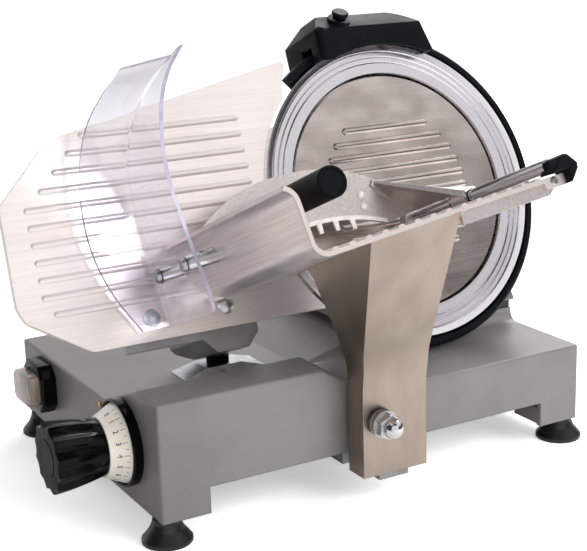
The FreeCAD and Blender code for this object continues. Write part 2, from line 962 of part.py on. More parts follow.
def cover_form(inset):
    # Tapered box on the gasket, cut along the blade's plane at its front.
    bottom = plinth_height + gasket_height - (1 if inset else 0)
    high = blade_z
    left = motor_cover_left + inset
    right = motor_cover_right - inset
    front = plinth_front + 40
    rear = motor_cover_back - inset
    taper = motor_cover_taper

    def ring(z, squeeze, pull):
        return Part.makePolygon([
            Vector(left + squeeze, front, z), Vector(right - squeeze, front, z),
            Vector(right - squeeze, rear - pull, z), Vector(left + squeeze, rear - pull, z),
            Vector(left + squeeze, front, z),
        ])

    body = Part.makeLoft([ring(bottom, 0, 0), ring(high, taper, taper * 0.5)], True, True)
    top = motor_cover_top - inset
    above = along_z([(-400, top), (400, top), (400, 400), (-400, 400)], -400, 400)
    face = -dish_back + (1 if inset else 0)
    ahead = box((-400, -400, face), (400, 400, 400))
    return body.cut([placed(above, blade_frame), placed(ahead, blade_frame)])


def motor_cover():
    cover = cover_form(0).cut(cover_form(motor_cover_wall))
    low = plinth_height + gasket_height + 5
    slots = []
    for i in range(7):
        x = blade_x + motor_x - 36 + 12 * i
        slots.append(box((x, motor_cover_back - 30, low), (x + 4, motor_cover_back + 10, low + 8)))
    return cover.cut(slots)


def gasket():
    # Black seal between the plinth and the rear casting.
    seal = box(
        (motor_cover_left + 4, plinth_front + 1, plinth_height),
        (base_width - 2, motor_cover_back - 2, plinth_height + gasket_height),
    )
    return seal.cut(motor_room_box(plinth_height - 1, plinth_height + gasket_height + 1))


def capacitor():
    return cylinder((capacitor_x, capacitor_y, capacitor_z), across, capacitor_radius, capacitor_length)


def capacitor_saddles():
    # Ribs under the deck, hollowed out for the capacitor.
    half = capacitor_radius + 4
    ribs = [
        box((x, capacitor_y - half, capacitor_z), (x + 6, capacitor_y + half, plinth_height - base_wall))
        for x in (capacitor_x + 8, capacitor_x + capacitor_length - 14)
    ]
    seat = cylinder((0, capacitor_y, capacitor_z), across, capacitor_radius + press_gap, base_width)
    return [rib.cut(seat) for rib in ribs]


# Sharpener, in the blade frame with u from the blade's edge

def sharpener_outline(inset, low):
    # Front outline of the housing, chamfered at the left and rounded off to the right.
    top = blade_radius + sharpener_roof - inset
    shoulder = blade_radius + sharpener_shoulder - inset * 0.4
    left = sharpener_left + inset
    right = sharpener_right - inset
    start = Vector(left, low, 0)
    return outline(start, [
        (Vector(left, shoulder, 0),),
        (Vector(left + 12, top, 0),),
        (Vector(right - 31, top, 0),),
        (Vector(right - 19, top - 4.5, 0), Vector(right - 7, shoulder, 0)),
        (Vector(right, low, 0),),
    ])


def sharpener_form(inset):
    low = blade_radius + sharpener_low - (20 if inset else 0)
    front = sharpener_front - inset
    rear = sharpener_back + inset
    body = sharpener_outline(inset, low).extrude(Vector(0, 0, front - rear)).translated(Vector(0, 0, rear))
    top = blade_radius + sharpener_roof - inset
    chamfer = sharpener_chamfer
    front_cut = along_x([
        (top - chamfer, front), (top + 1, front - chamfer - 1), (top + 1, front + 1),
        (top - chamfer, front + 1),
    ], -200, 200)
    rear_cut = along_x([
        (top - chamfer, rear), (top + 1, rear + chamfer + 1), (top + 1, rear - 1), (top - chamfer, rear - 1),
    ], -200, 200)
    return body.cut([front_cut, rear_cut])


def grind_axis():
    # Start on the front chamfer and direction of the grinding stone's spindle.
    top = blade_radius + sharpener_roof
    half = sharpener_chamfer / 2
    return Vector(grind_button_x, top - half, sharpener_front - half), Vector(0, -1, -1).normalize()


def sharpener_housing():
    inner = sharpener_form(sharpener_wall)
    shell = sharpener_form(0).cut(inner)
    start, inward = grind_axis()
    collar = Part.makeCylinder(grind_button_radius + 2.5, 6, start - inward * 2.5, inward)
    rib_low = blade_radius + sharpener_low + 1
    rib_x = sharpener_left + 6
    rib_n = sharpener_front - 2
    rib_length = sharpener_shoulder - sharpener_low - 4
    rib = cylinder((rib_x, rib_low, rib_n), back, 6, rib_length)
    rib = rib.fuse(Part.makeSphere(6, Vector(rib_x, rib_low + rib_length, rib_n)))
    rib = rib.cut(inner)
    deburr_point = (deburr_x, blade_radius + deburr_u, sharpener_back - 2)
    rear_boss = cylinder(deburr_point, up, 7, sharpener_wall + 4)
    socket = cylinder(
        (sharpener_post_x, blade_radius + sharpener_roof - 10, sharpener_post_n), back,
        sharpener_post_radius + 3, 9,
    )
    shell = shell.fuse([collar.cut(inner), rib, rear_boss, socket]).removeSplitter()
    rear = -ring_depth - 2
    notches = [
        box((sharpener_left - 8, blade_radius - 40, rear), (sharpener_left + 8, blade_radius + 2, 3)),
        box((sharpener_right - 14, blade_radius - 40, rear), (sharpener_right + 8, blade_radius + 3, 3)),
    ]
    arch = cylinder((0, 0, -400), up, blade_radius - 4, 800)
    spindle = stone_spindle_radius + running_gap
    holes = [
        Part.makeCylinder(spindle, 40, start - inward * 10, inward),
        Part.makeCylinder(grind_button_radius - 1.5, 3.5, start - inward * 3, inward),
        cylinder((deburr_x, blade_radius + deburr_u, sharpener_back - 5), up, spindle, 12),
        cylinder(
            (sharpener_post_x, blade_radius + sharpener_roof - 12, sharpener_post_n), back,
            sharpener_post_radius + press_gap, 9,
        ),
    ]
    return shell.cut(notches + [arch] + holes)


def sharpener_post():
    top = blade_radius + sharpener_roof - 3
    return cylinder((sharpener_post_x, top - sharpener_post_length, sharpener_post_n), back,
                    sharpener_post_radius, sharpener_post_length)


def grinding_stone():
    start, inward = grind_axis()
    rear = start + inward * (20 - stone_thickness)
    stone = Part.makeCylinder(stone_radius, stone_thickness, rear, inward)
    return stone.cut(Part.makeCylinder(stone_spindle_radius + press_gap, 60, start, inward))


def grinding_button():
    start, inward = grind_axis()
    spindle = Part.makeCylinder(stone_spindle_radius, 26, start - inward * 6, inward)
    head = Part.makeCylinder(grind_button_radius, 4, start - inward * 9, inward)
    return spindle.fuse(bevelled(head, grind_button_radius))


def deburring_stone():
    centre = (deburr_x, blade_radius + deburr_u, 4.0)
    return tube(centre, up, stone_radius, stone_spindle_radius + press_gap, stone_thickness)


def deburring_knob():
    low = sharpener_back - 11
    spindle = cylinder((deburr_x, blade_radius + deburr_u, low), up, stone_spindle_radius, 9 - low)
    head = cylinder((deburr_x, blade_radius + deburr_u, low), up, deburr_button_radius, 7)
    return spindle.fuse(bevelled(head, deburr_button_radius))


# Gauge plate group, in the blade frame

def gauge_outline():
    # Corners of the plate in the blade's plane, the last ones along the round edge beside the blade.
    edge = blade_radius + gauge_gap
    low_angle = math.asin(gauge_low / edge)
    high_angle = math.radians(134)
    left = gauge_left
    corners = [
        (-edge * math.cos(low_angle), gauge_low), (left + 50, gauge_low), (left + 4, -56), (left, -44),
        (left + 2, 30), (left + 48, 75), (-83, 119),
        (edge * math.cos(high_angle) - 3, edge * math.sin(high_angle) + 6),
    ]
    radii = [0, 14, 12, 8, 10, 10, 3, 0]
    plate = rounded([(x, u, 0) for x, u in corners], radii)
    return plate.cut(Part.Face(Part.Wire(Part.makeCircle(edge))))


def gauge_plate():
    front = -gauge_setback
    depth = gauge_thickness
    plate = gauge_outline().extrude(Vector(0, 0, depth)).translated(Vector(0, 0, front - depth))
    ribs = []
    for i in range(gauge_rib_count):
        u = 76 - i * gauge_rib_pitch
        left = gauge_left + 22
        if u > 24:
            left += (u - 24) * 1.02
        if u < -48:
            left += (-48 - u) * 1.1
        ribs.append(bead((left, u, front), gauge_rib_right - left, gauge_rib_width, gauge_rib_height))
    rear = front - depth
    left = gauge_left + 60
    stiffeners = [
        box((left, gauge_low + 34, rear - 8), (gauge_screw_right + 30, gauge_low + 38, rear)),
        box((left, gauge_low + 4, rear - 8), (left + 4, gauge_low + 38, rear)),
    ]
    holes = [
        cylinder((x, gauge_screw_u, front - depth - 10), up, 3 + press_gap, depth + 20)
        for x in (gauge_screw_left, gauge_screw_right)
    ]
    return plate.fuse(ribs + stiffeners).removeSplitter().cut(holes)


def gauge_screws():
    front = -gauge_setback
    shapes = []
    for x in (gauge_screw_left, gauge_screw_right):
        height = 2.2
        radius = (gauge_screw_radius ** 2 + height ** 2) / (2 * height)
        dome = Part.makeSphere(radius, Vector(x, gauge_screw_u, front + height - radius))
        above = cylinder((x, gauge_screw_u, front), up, gauge_screw_radius + 1, height + 1)
        shank = cylinder((x, gauge_screw_u, front - gauge_thickness - 9), up, 3, gauge_thickness + 9)
        shapes.append(dome.common(above).fuse(shank))
    return Part.Compound(shapes)


def gauge_bracket():
    # Bar screwed behind the plate's lower edge, and the strap that runs back over the stud.
    face = -gauge_setback - gauge_thickness
    bar = box((bracket_left, gauge_low - 6, face - 7), (bracket_right, gauge_low + 26, face))
    holes = [
        cylinder((x, gauge_screw_u, face - 9), up, 3 + press_gap, 20)
        for x in (gauge_screw_left, gauge_screw_right)
    ]
    low = gauge_low - bracket_drop
    strap = along_z([
        (bracket_right - 48.4, gauge_low - 5.5), (bracket_right - 37.5, low),
        (bracket_right - 10.3, low), (bracket_right, gauge_low - 6.6),
        (bracket_right, gauge_low - 2), (bracket_right - 48.4, gauge_low - 2),
    ], face - bracket_reach, face)
    bracket = placed(bar.cut(holes).fuse(strap), blade_frame)
    seat = deck_height + dust_cover_height + collar_height
    below = box((0, 0, 0), (base_width, base_depth, seat))
    hole = cylinder((stud_x, stud_y, seat - 1), up, stud_radius + press_gap, 9.2)
    return bracket.cut([below, hole]).removeSplitter()


def gauge_stud():
    low = gauge_rod_z + gauge_rod_radius + 3
    high = deck_height + dust_cover_height + collar_height + 8
    return cylinder((stud_x, stud_y, low), up, stud_radius, high - low)


def collar_nut():
    low = deck_height + dust_cover_height
    nut = tube((stud_x, stud_y, low), up, collar_radius, stud_radius + press_gap, collar_height)
    notches = []
    for i in range(12):
        angle = math.pi * i / 6
        reach = collar_radius + 0.6
        centre = (stud_x + reach * math.cos(angle), stud_y + reach * math.sin(angle), low - 1)
        notches.append(cylinder(centre, up, 1.2, collar_height + 2))
    return nut.cut(notches)


def dust_cover():
    # Low pyramid that slides on the deck over the stud's slot.
    low = deck_height + 0.3
    high = deck_height + dust_cover_height

    def ring(z, half_x, half_y):
        return Part.makePolygon([
            Vector(stud_x + a * half_x, stud_y + b * half_y, z)
            for a, b in ((-1, -1), (1, -1), (1, 1), (-1, 1), (-1, -1))
        ])

    body = Part.makeLoft([ring(low, 36, 13.8), ring(high, 16, 11)], True, True)
    return body.cut(cylinder((stud_x, stud_y, low - 1), up, stud_radius + press_gap, 20))


def gauge_slide():
    # Block under the deck that runs on the guide rod and holds the stud.
    half_x = 16
    half_y = 16
    block = box(
        (stud_x - half_x, stud_y - half_y, gauge_rod_z - gauge_rod_radius - 4),
        (stud_x + half_x, stud_y + half_y, gauge_rod_z + gauge_rod_radius + 6),
    )
    bore = cylinder((stud_x, 0, gauge_rod_z), back, gauge_rod_radius + running_gap, base_depth)
    seat = cylinder((stud_x, stud_y, gauge_rod_z + gauge_rod_radius + 3), up, stud_radius + press_gap, 20)
    arm_start = cam_left + cam_thickness + 2
    arm = box((arm_start, stud_y - 12, dial_z - 5), (stud_x - half_x, stud_y - 2, dial_z + 5))
    pin_y = dial_y + cam_start_radius
    finger = box((arm_start, pin_y - 5, dial_z - 5), (arm_start + 8, stud_y - 2, dial_z + 5))
    pin_hole = cylinder((0, pin_y, dial_z), across, cam_pin_radius + press_gap, arm_start + 6)
    return block.fuse([arm, finger]).removeSplitter().cut([bore, seat, pin_hole])


def follower_pin():
    start = cam_left + cam_thickness - cam_groove_depth + body_gap
    end = cam_left + cam_thickness + 2 + 6
    return cylinder((start, dial_y + cam_start_radius, dial_z), across, cam_pin_radius, end - start)


def gauge_rod():
    length = gauge_rod_back - gauge_rod_front
    return cylinder((stud_x, gauge_rod_front, gauge_rod_z), back, gauge_rod_radius, length)


# Dial, about an axis along X through dial_y and dial_z

def on_dial(shape):
    # From an axis along +z through the origin to the dial's axis, with +z to the left.
    turned_left = Placement(Vector(0, dial_y, dial_z), Rotation(Vector(0, 1, 0), -90))
    return placed(shape, turned_left)


def index_ring():
    inner = dial_ring_rear + 0.7
    hole = spindle_bush_radius + 3
    return on_dial(turned([
        (hole, 0), (index_ring_radius, 0), (index_ring_radius, index_ring_depth - 1),
        (index_ring_radius - 1, index_ring_depth), (inner, index_ring_depth), (inner, 1.5), (hole, 1.5),
    ]))


def dial_ring():
    start = 4.0
    end = start + dial_ring_length
    return on_dial(turned([
        (spindle_radius + press_gap, start), (dial_ring_rear, start), (dial_ring_rear, start + 1),
        (dial_ring_front, end), (spindle_radius + press_gap, end),
    ]))


def knob():
    start = 4.0 + dial_ring_length
    end = start + knob_length
    bell = outline(Vector(0, 0, start), [
        (Vector(knob_rear_radius - 1, 0, start),),
        (Vector(knob_rear_radius, 0, start + 1),),
        (Vector(knob_rear_radius + 1.2, 0, start + knob_length * 0.5), Vector(knob_front_radius, 0, end - 2)),
        (Vector(knob_front_radius - 2, 0, end),),
        (Vector(0, 0, end),),
    ]).revolve(Vector(0, 0, 0), up, 360)
    flutes = []
    lean = math.degrees(math.atan2(knob_front_radius - knob_rear_radius - 1.0, knob_length))
    for i in range(knob_flutes):
        flute = cylinder((0, 0, -4), up, knob_flute_radius, knob_length + 12)
        flute.rotate(Vector(0, 0, 0), back, lean)
        flute.translate(Vector(knob_rear_radius + knob_flute_radius - 1.2, 0, start))
        flute.rotate(Vector(0, 0, 0), up, 360 * i / knob_flutes)
        flutes.append(flute)
    recess = cylinder((0, 0, end - 2), up, knob_cap_radius + press_gap, 3)
    bore = cylinder((0, 0, start - 1), up, spindle_radius + press_gap, knob_length - 8)
    return on_dial(bell.cut(flutes + [recess, bore]))


def knob_cap():
    end = 4.0 + dial_ring_length + knob_length
    cap = cylinder((0, 0, end - 2), up, knob_cap_radius, 2.3)
    return on_dial(cap.makeChamfer(0.4, [cap.Edges[0]]))


def spindle():
    start = -(cam_left + cam_thickness - cam_groove_depth)
    end = 4.0 + dial_ring_length + knob_length - 10
    return on_dial(cylinder((0, 0, start), up, spindle_radius, end - start))


def spindle_bush():
    outer = spindle_bush_radius
    profile = [
        (spindle_radius + running_gap, -(cam_left - 1)), (outer, -(cam_left - 1)), (outer, 0), (outer + 2, 0),
        (outer + 2, 1.4), (spindle_radius + running_gap, 1.4),
    ]
    return on_dial(turned(profile))


def cam_point(angle, side):
    # A point beside the groove's middle line, which climbs evenly with the angle.
    climb = gauge_travel / math.radians(dial_sweep)
    radius = cam_start_radius + climb * angle
    slope = math.atan2(climb, radius)
    half = side * (cam_pin_radius + 0.3)
    normal = angle - slope
    y = radius * math.cos(angle) + half * math.cos(normal)
    z = radius * math.sin(angle) + half * math.sin(normal)
    return Vector(0, y, z)


def spiral_cam():
    sweep = math.radians(dial_sweep)
    angles = [-0.06 + (sweep + 0.12) * i / cam_steps for i in range(cam_steps + 1)]
    edges = []
    for side in (1, -1):
        curve = Part.BSplineCurve()
        curve.interpolate([cam_point(angle, side) for angle in angles])
        edges.append(curve.toShape())
    for angle, turn in ((angles[0], -1), (angles[-1], 1)):
        middle = (cam_point(angle, 1) + cam_point(angle, -1)) * 0.5
        along = (cam_point(angle + turn * 0.01, 0) - cam_point(angle, 0)).normalize()
        tip = middle + along * (cam_pin_radius + 0.3)
        edges.append(Part.Arc(cam_point(angle, 1), tip, cam_point(angle, -1)).toShape())
    wire = Part.Wire(Part.__sortEdges__(edges))
    groove = Part.Face(wire).extrude(Vector(cam_groove_depth + 1, 0, 0))
    groove.translate(Vector(cam_left + cam_thickness - cam_groove_depth, dial_y, dial_z))
    disc = cylinder((cam_left, dial_y, dial_z), across, cam_radius, cam_thickness)
    bore = cylinder((cam_left - 1, dial_y, dial_z), across, spindle_radius + press_gap,
                    cam_thickness - cam_groove_depth + 1)
    return disc.cut([groove, bore])


# Switch on the left side

def switch_box(width, height, start, end, corner):
    # Chamfered block on the left side, from x = -end to x = -start.
    half_y = width / 2
    half_z = height / 2
    points = [
        (-half_y + corner, -half_z), (half_y - corner, -half_z), (half_y, -half_z + corner),
        (half_y, half_z - corner), (half_y - corner, half_z), (-half_y + corner, half_z),
        (-half_y, half_z - corner), (-half_y, -half_z + corner),
    ]
    return along_x([(switch_y + y, switch_z + z) for y, z in points], -end, -start)


def switch_bezel():
    body = switch_box(switch_width, switch_height, 0, switch_bezel_depth, 9)
    front = [e for e in body.Edges if abs(e.BoundBox.XMax + switch_bezel_depth) < 0.01]
    body = body.makeFillet(2.5, front)
    window = switch_box(switch_window_width, switch_window_height, -1, switch_bezel_depth + 1, 3)
    return body.cut(window)


def switch_cover():
    width = switch_window_width + 2
    height = switch_window_height + 2
    wall = switch_cover_wall
    top = switch_bezel_depth + switch_cover_depth
    outer = switch_box(width, height, switch_bezel_depth, top, 4)
    outer = outer.makeFillet(2.5, [e for e in outer.Edges if abs(e.BoundBox.XMax + top) < 0.01])
    inner = switch_box(width - 2 * wall, height - 2 * wall, switch_bezel_depth - 1, top - wall, 4 - wall)
    inner = inner.makeFillet(1.5, [e for e in inner.Edges if abs(e.BoundBox.XMax + top - wall) < 0.01])
    return outer.cut(inner)


def button_width():
    return (switch_window_width - 3 * button_gap) / 2


def switch_button(side):
    # side 1 is the rear button, -1 the front one.
    offset = side * (button_width() + button_gap) / 2
    half_y = button_width() / 2
    half_z = switch_window_height / 2 - button_gap
    end = switch_bezel_depth + button_proud
    cap = box(
        (-end, switch_y + offset - half_y, switch_z - half_z),
        (-button_travel - 1, switch_y + offset + half_y, switch_z + half_z),
    )
    cap = cap.makeFillet(2, [e for e in cap.Edges if e.BoundBox.XMin < -end + 0.01 or e.BoundBox.XLength > 5])
    stem = cylinder((-button_travel - 1, switch_y + offset, switch_z), across, button_stem_radius, 14)
    return cap.fuse(stem)


def switch_body():
    half_y = switch_window_width / 2 - 1.5
    half_z = switch_window_height / 2 - 1.5
    body = box((0.3, switch_y - half_y, switch_z - half_z),
               (base_wall + switch_body_depth, switch_y + half_y, switch_z + half_z))
    offset = (button_width() + button_gap) / 2
    holes = [
        cylinder((-1, switch_y + side * offset, switch_z), across, button_stem_radius + 0.1, 19)
        for side in (1, -1)
    ]
    tabs = [
        box((base_wall + switch_body_depth, switch_y + y - 2, switch_z - 6 + z),
            (base_wall + switch_body_depth + 7, switch_y + y + 2, switch_z - 5.2 + z))
        for y in (-8, 8) for z in (0, 10)
    ]
    return body.cut(holes).fuse(tabs)


# Carriage, in the tray frame

def tray():
    sheet = tray_sheet
    floor = tray_floor_w
    wall = tray_wall_f
    bend = tray_bend
    curl = tray_curl
    turn = math.radians(70)
    half = turn / 2

    def arc_point(centre, radius, angle):
        return Vector(centre[0] + radius * math.cos(angle), centre[1] + radius * math.sin(angle), 0)

    corner = (wall + bend, floor + bend)
    lip = (wall - curl, tray_wall_top)
    edge = math.radians(225)
    section = outline(Vector(tray_end_f - 2, floor, 0), [
        (Vector(corner[0], floor, 0),),
        (arc_point(corner, bend, edge), Vector(wall, corner[1], 0)),
        (Vector(wall, tray_wall_top, 0),),
        (arc_point(lip, curl, half), arc_point(lip, curl, turn)),
        (arc_point(lip, curl + sheet, turn),),
        (arc_point(lip, curl + sheet, half), Vector(wall + sheet, tray_wall_top, 0)),
        (Vector(wall + sheet, corner[1], 0),),
        (arc_point(corner, bend - sheet, edge), Vector(corner[0], floor + sheet, 0)),
        (Vector(tray_end_f - 2, floor + sheet, 0),),
    ])
    length = tray_near - tray_far
    body = section.extrude(Vector(0, 0, length)).translated(Vector(0, 0, tray_far))
    ribs = []
    low = floor + sheet - 0.5
    high = floor + sheet + tray_rib_height
    base = tray_rib_base / 2
    crest = tray_rib_crest / 2
    for i in range(tray_rib_count):
        middle = wall + bend + 4 + i * tray_rib_pitch
        ribs.append(along_z([
            (middle - base, low), (middle + base, low), (middle + crest, high), (middle - crest, high),
        ], tray_far, tray_near))
    near = tray_near - flange_setback
    flange = along_z([
        (flange_start, floor + 0.5), (flange_start, floor - flange_height),
        (tray_end_f - 14, floor - flange_height),
        (tray_end_f - 2, floor - 1), (tray_end_f - 2, floor + 0.5),
    ], near - flange_sheet, near)
    boss = along_z([
        (-22, floor + sheet - 0.5), (-20, floor - 5), (tray_end_f - 1, floor - 5),
        (tray_end_f + 1, floor - 3), (tray_end_f + 1, floor + sheet), (tray_end_f - 4, floor + sheet),
    ], tray_near - 30, tray_near)
    cut = tray_corner_cut
    far_corner = prism([
        (wall - 1, tray_wall_top - 12, tray_far - 1), (wall - 1, floor - 1, tray_far + cut),
        (wall - 1, floor - 1, tray_far - 1),
    ], Vector(bend + 2, 0, 0))
    screw = cylinder((tray_end_f - 9, floor - 0.5, tray_near - 12), up, 2 + press_gap, 13)
    bolts = [
        cylinder((wall - 5, guard_bolt_w, n), across, guard_bolt_radius + press_gap, 15)
        for n in (guard_bolt_near, guard_bolt_far)
    ]
    rod_start = (pusher_rod_f, pusher_rod_w, pusher_rod_start)
    rod_hole = cylinder(rod_start, up, pusher_rod_radius + press_gap, tray_near)
    return body.fuse(ribs + [flange, boss, rod_far_bracket()]).removeSplitter().cut(
        [far_corner, screw, rod_hole] + bolts)


def tray_screw():
    # Cross-head screw in the tray's near edge.
    f = tray_end_f - 9
    w = tray_floor_w - 0.5
    shank = cylinder((f, w, tray_near - 10), up, 2, 10)
    head = Part.makeCone(3.4, 2.6, 1.4, Vector(f, w, tray_near), up)
    cross = [
        box((f - 2, w - 0.4, tray_near + 0.6), (f + 2, w + 0.4, tray_near + 2)),
        box((f - 0.4, w - 2, tray_near + 0.6), (f + 0.4, w + 2, tray_near + 2)),
    ]
    return shank.fuse(head).cut(cross)


def under_tray(shape, gap):
    # Cut off what reaches above the underside of the tray's floor.
    above = box((-600, tray_floor_w - gap, -600), (600, 600, 600))
    return shape.cut(placed(above, tray_frame))


def arm_front(left, right, low):
    # Front outline of the arm: upright to the knee, then leaning to the left and widening.
    rise = arm_top - arm_knee
    return [
        (left, low), (left, arm_knee), (left - arm_left_lean * rise, arm_top),
        (right - arm_right_lean * rise, arm_top), (right, arm_knee), (right, low),
    ]


def arm_form(inset):
    # Outer form of the folded arm, or with an inset the space inside it.
    behind = 200 if inset else 0
    low = arm_bottom - (20 if inset else 0)
    front = arm_y + inset
    rear = arm_rear + behind
    side = [
        (front, low), (front, arm_knee), (front - arm_lean * (arm_top - arm_knee), arm_top),
        (rear + 20, arm_top), (rear + 11.7, 167.4), (rear + 7.9, 149), (rear + 1.4, 120),
        (rear, arm_knee - 4), (rear, low),
    ]
    face = arm_front(arm_left + inset, arm_right - inset, low)
    bent = rounded([(50, y, z) for y, z in side], [0, arm_bend + inset] + [0] * (len(side) - 2))
    waist = rounded([(x, -150, z) for x, z in face], [0, arm_waist + inset, 0, 0, arm_waist - inset, 0])
    return bent.extrude(across * 250).common(waist.extrude(back * 550))


def carriage_arm():
    cover = under_tray(arm_form(0), press_gap).cut(arm_form(arm_sheet))
    hole = cylinder((nut_x, arm_y - 5, nut_z), back, nut_thread_radius + 0.3, 10)
    return cover.cut(hole)


def arm_middle():
    return (arm_left + arm_right) / 2


def carriage_stem():
    # Casting inside the arm: foot under the base, upright web and the pad below the tray.
    front = arm_y + arm_sheet + 0.5
    rear = arm_rear - 1.2
    foot_top = stem_foot_z + stem_foot
    side = along_x([
        (front, stem_foot_z), (front, arm_knee), (front - arm_lean * (arm_top - arm_knee), arm_top),
        (rear + 12, arm_top), (rear + 5, 150), (rear, 120), (rear, foot_top), (slider_back, foot_top),
        (slider_back, stem_foot_z),
    ], 50, 300)
    half = stem_width / 2
    middle = arm_middle()
    web = side.common(along_y(arm_front(middle - half, middle + half, stem_foot_z), -150, 400))
    top_pad = placed(box((-148, tray_floor_w - 7, 90), (-112, tray_floor_w - press_gap, 178)), tray_frame)
    bolt_boss = cylinder((nut_x, front, nut_z), back, 9, 15)
    stem = under_tray(web, press_gap).fuse([top_pad, bolt_boss]).removeSplitter()
    return stem.cut(cylinder((nut_x, arm_y, nut_z), back, nut_thread_radius + press_gap, 30))


def acorn_nut():
    # Domed hexagon nut on the arm's front, its opening towards the arm.
    face = arm_y - 3 - 2 * washer_thickness - 1.2
    height = 8.0
    corner = nut_flats / math.sqrt(3)
    points = []
    for i in range(6):
        angle = math.pi * (i + 0.5) / 3
        points.append((nut_x + corner * math.cos(angle), face, nut_z + corner * math.sin(angle)))
    hexagon = prism(points, Vector(0, -height, 0))
    dome_radius = nut_flats / 2 - 1
    dome = cylinder((nut_x, face - height, nut_z), Vector(0, -1, 0), dome_radius, 2)
    cap = Part.makeSphere(dome_radius, Vector(nut_x, face - height - 2, nut_z))
    cap = cap.cut(box((nut_x - 20, face - height - 2, nut_z - 20), (nut_x + 20, face + 20, nut_z + 20)))
    start = Vector(nut_x, face + 1.5, nut_z)
    bevel = Part.makeCone(corner + height, corner - 1.5, height + 1.5, start, Vector(0, -1, 0))
    hexagon = hexagon.common(bevel)
    bore = cylinder((nut_x, face + 1, nut_z), Vector(0, -1, 0), nut_thread_radius + press_gap, 9)
    return hexagon.fuse([dome, cap]).cut(bore)


def arm_washers():
    front = arm_y
    boss = tube((nut_x, front - 3, nut_z), back, nut_boss_radius, nut_thread_radius + 0.3, 3)
    plain = tube((nut_x, front - 3 - washer_thickness, nut_z), back, washer_radius, nut_thread_radius + 0.3,
                 washer_thickness)
    second = tube((nut_x, front - 3 - washer_thickness - 1.2, nut_z), back, washer_spring_radius,
                  nut_thread_radius + 0.3, 1.2)
    third = tube((nut_x, front - 3 - 2 * washer_thickness - 1.2, nut_z), back, washer_radius,
                 nut_thread_radius + 0.3, washer_thickness)
    return Part.Compound([boss, plain, second, third])


def arm_stud():
    start = arm_y - 3 - 2 * washer_thickness - 1.2 - 7.5
    end = arm_y + arm_sheet + 14
    return cylinder((nut_x, start, nut_z), back, nut_thread_radius, end - start)


def slider_block():
    # Aluminium block that carries the arm's stem on the round rod.
    middle = arm_middle()
    low = stem_foot_z + stem_foot
    block = box(
        (middle - slider_length / 2, base_wall + 2.5, low),
        (middle + slider_length / 2, rod_y + rod_radius + 12, rod_z + rod_radius + 8),
    )
    seat = rod_radius + slider_bush_wall + press_gap
    return block.cut(cylinder((0, rod_y, rod_z), across, seat, base_width))


def slider_bushes():
    start = arm_middle() - slider_length / 2
    outer = rod_radius + slider_bush_wall
    inner = rod_radius + running_gap
    return Part.Compound([
        tube((x, rod_y, rod_z), across, outer, inner, slider_bush_length)
        for x in (start, start + slider_length - slider_bush_length)
    ])


def guide_shoe():
    # Nylon shoe that straddles the flat guide bar.
    middle = arm_middle()
    low = stem_foot_z + stem_foot
    back_y = guide_bar_y + guide_bar_width
    body = box((middle - 14, guide_bar_y - 4, low), (middle + 14, back_y + 4, guide_bar_z + 8))
    slot = box(
        (middle - 20, guide_bar_y - 0.3, guide_bar_z - 0.3), (middle + 20, back_y + 0.3, guide_bar_z + 20))
    return body.cut(slot)


# Pusher, in the tray frame

def pusher_rod():
    length = pusher_rod_end - pusher_rod_start
    return cylinder((pusher_rod_f, pusher_rod_w, pusher_rod_start), up, pusher_rod_radius, length)


def rod_far_bracket():
    # Eye on the tray's far right corner that holds the rod's other end.
    low = tray_far + 2
    f = pusher_rod_f
    foot = tray_floor_w + tray_sheet - 0.5
    return along_z([
        (f - 9, foot), (tray_end_f - 2, foot), (f + 7, pusher_rod_w + 5), (f + 3, pusher_rod_w + 8),
        (f - 3, pusher_rod_w + 8), (f - 8, pusher_rod_w + 3),
    ], low, low + 9)


def rod_end_block():
    # Black moulded block that closes the tray's near right corner and holds the rod.
    f = tray_end_f
    points = [
        (f - 13, tray_floor_w + 5), (f - 5, pusher_rod_w + 3), (f + 1, pusher_rod_w + 4.5),
        (f + 4, pusher_rod_w + 3.5), (f + 10.5, -32), (f + 9.5, -36), (f + 1.2, -44),
        (f + 1.2, tray_floor_w + 4.6),
    ]
    body = along_z(points, tray_near - 9, tray_near + 8)
    front = [e for e in body.Edges if e.BoundBox.ZMin > tray_near + 7.9 and e.Length > 3]
    body = body.makeChamfer(1.2, front)
    start = (pusher_rod_f, pusher_rod_w, tray_near - 10)
    depth = pusher_rod_end - start[2] + 0.1
    hole = cylinder(start, up, pusher_rod_radius + press_gap, depth)
    return body.cut(hole)


def pusher_bush():
    inner = pusher_rod_radius + running_gap
    outer = pusher_rod_radius + pusher_bush_wall
    flange = pusher_rod_radius + pusher_bush_wall + pusher_collar_wall
    low = collar_start - 0.3
    high = collar_start + collar_length + 0.3
    bush = turned([
        (inner, low - 1.5), (flange, low - 1.5), (flange, low), (outer, low), (outer, high), (flange, high),
        (flange, high + 1.5), (inner, high + 1.5),
    ])
    return bush.translated(Vector(pusher_rod_f, pusher_rod_w, 0))


def pusher_collar():
    inner = pusher_rod_radius + pusher_bush_wall + running_gap
    outer = pusher_rod_radius + pusher_bush_wall + pusher_collar_wall
    return tube((pusher_rod_f, pusher_rod_w, collar_start), up, outer, inner, collar_length)


def pusher_plate():
    # Crowned plate parallel to the blade, cut up to a low arch at the bottom.
    low = pusher_n
    face = outline(Vector(-207, -18, low), [
        (Vector(-207, 12, low),),
        (Vector(-166, 32, low), Vector(-120, 36, low)),
        (Vector(-86, 31.5, low), Vector(-46, 13, low)),
        (Vector(-28.9, 1.7, low),),
        (Vector(-15, -22, low),),
        (Vector(-46, -24.6, low),),
        (Vector(-100, -9.5, low), Vector(-160, -15, low)),
    ])
    plate = face.extrude(Vector(0, 0, pusher_sheet))
    rivets = [cylinder((f, w, low - 1), up, 2 + press_gap, 10) for f, w in rivet_places()]
    return plate.cut(rivets)


def rivet_places():
    return (-60.8, 2.3), (-61.5, -6.9)


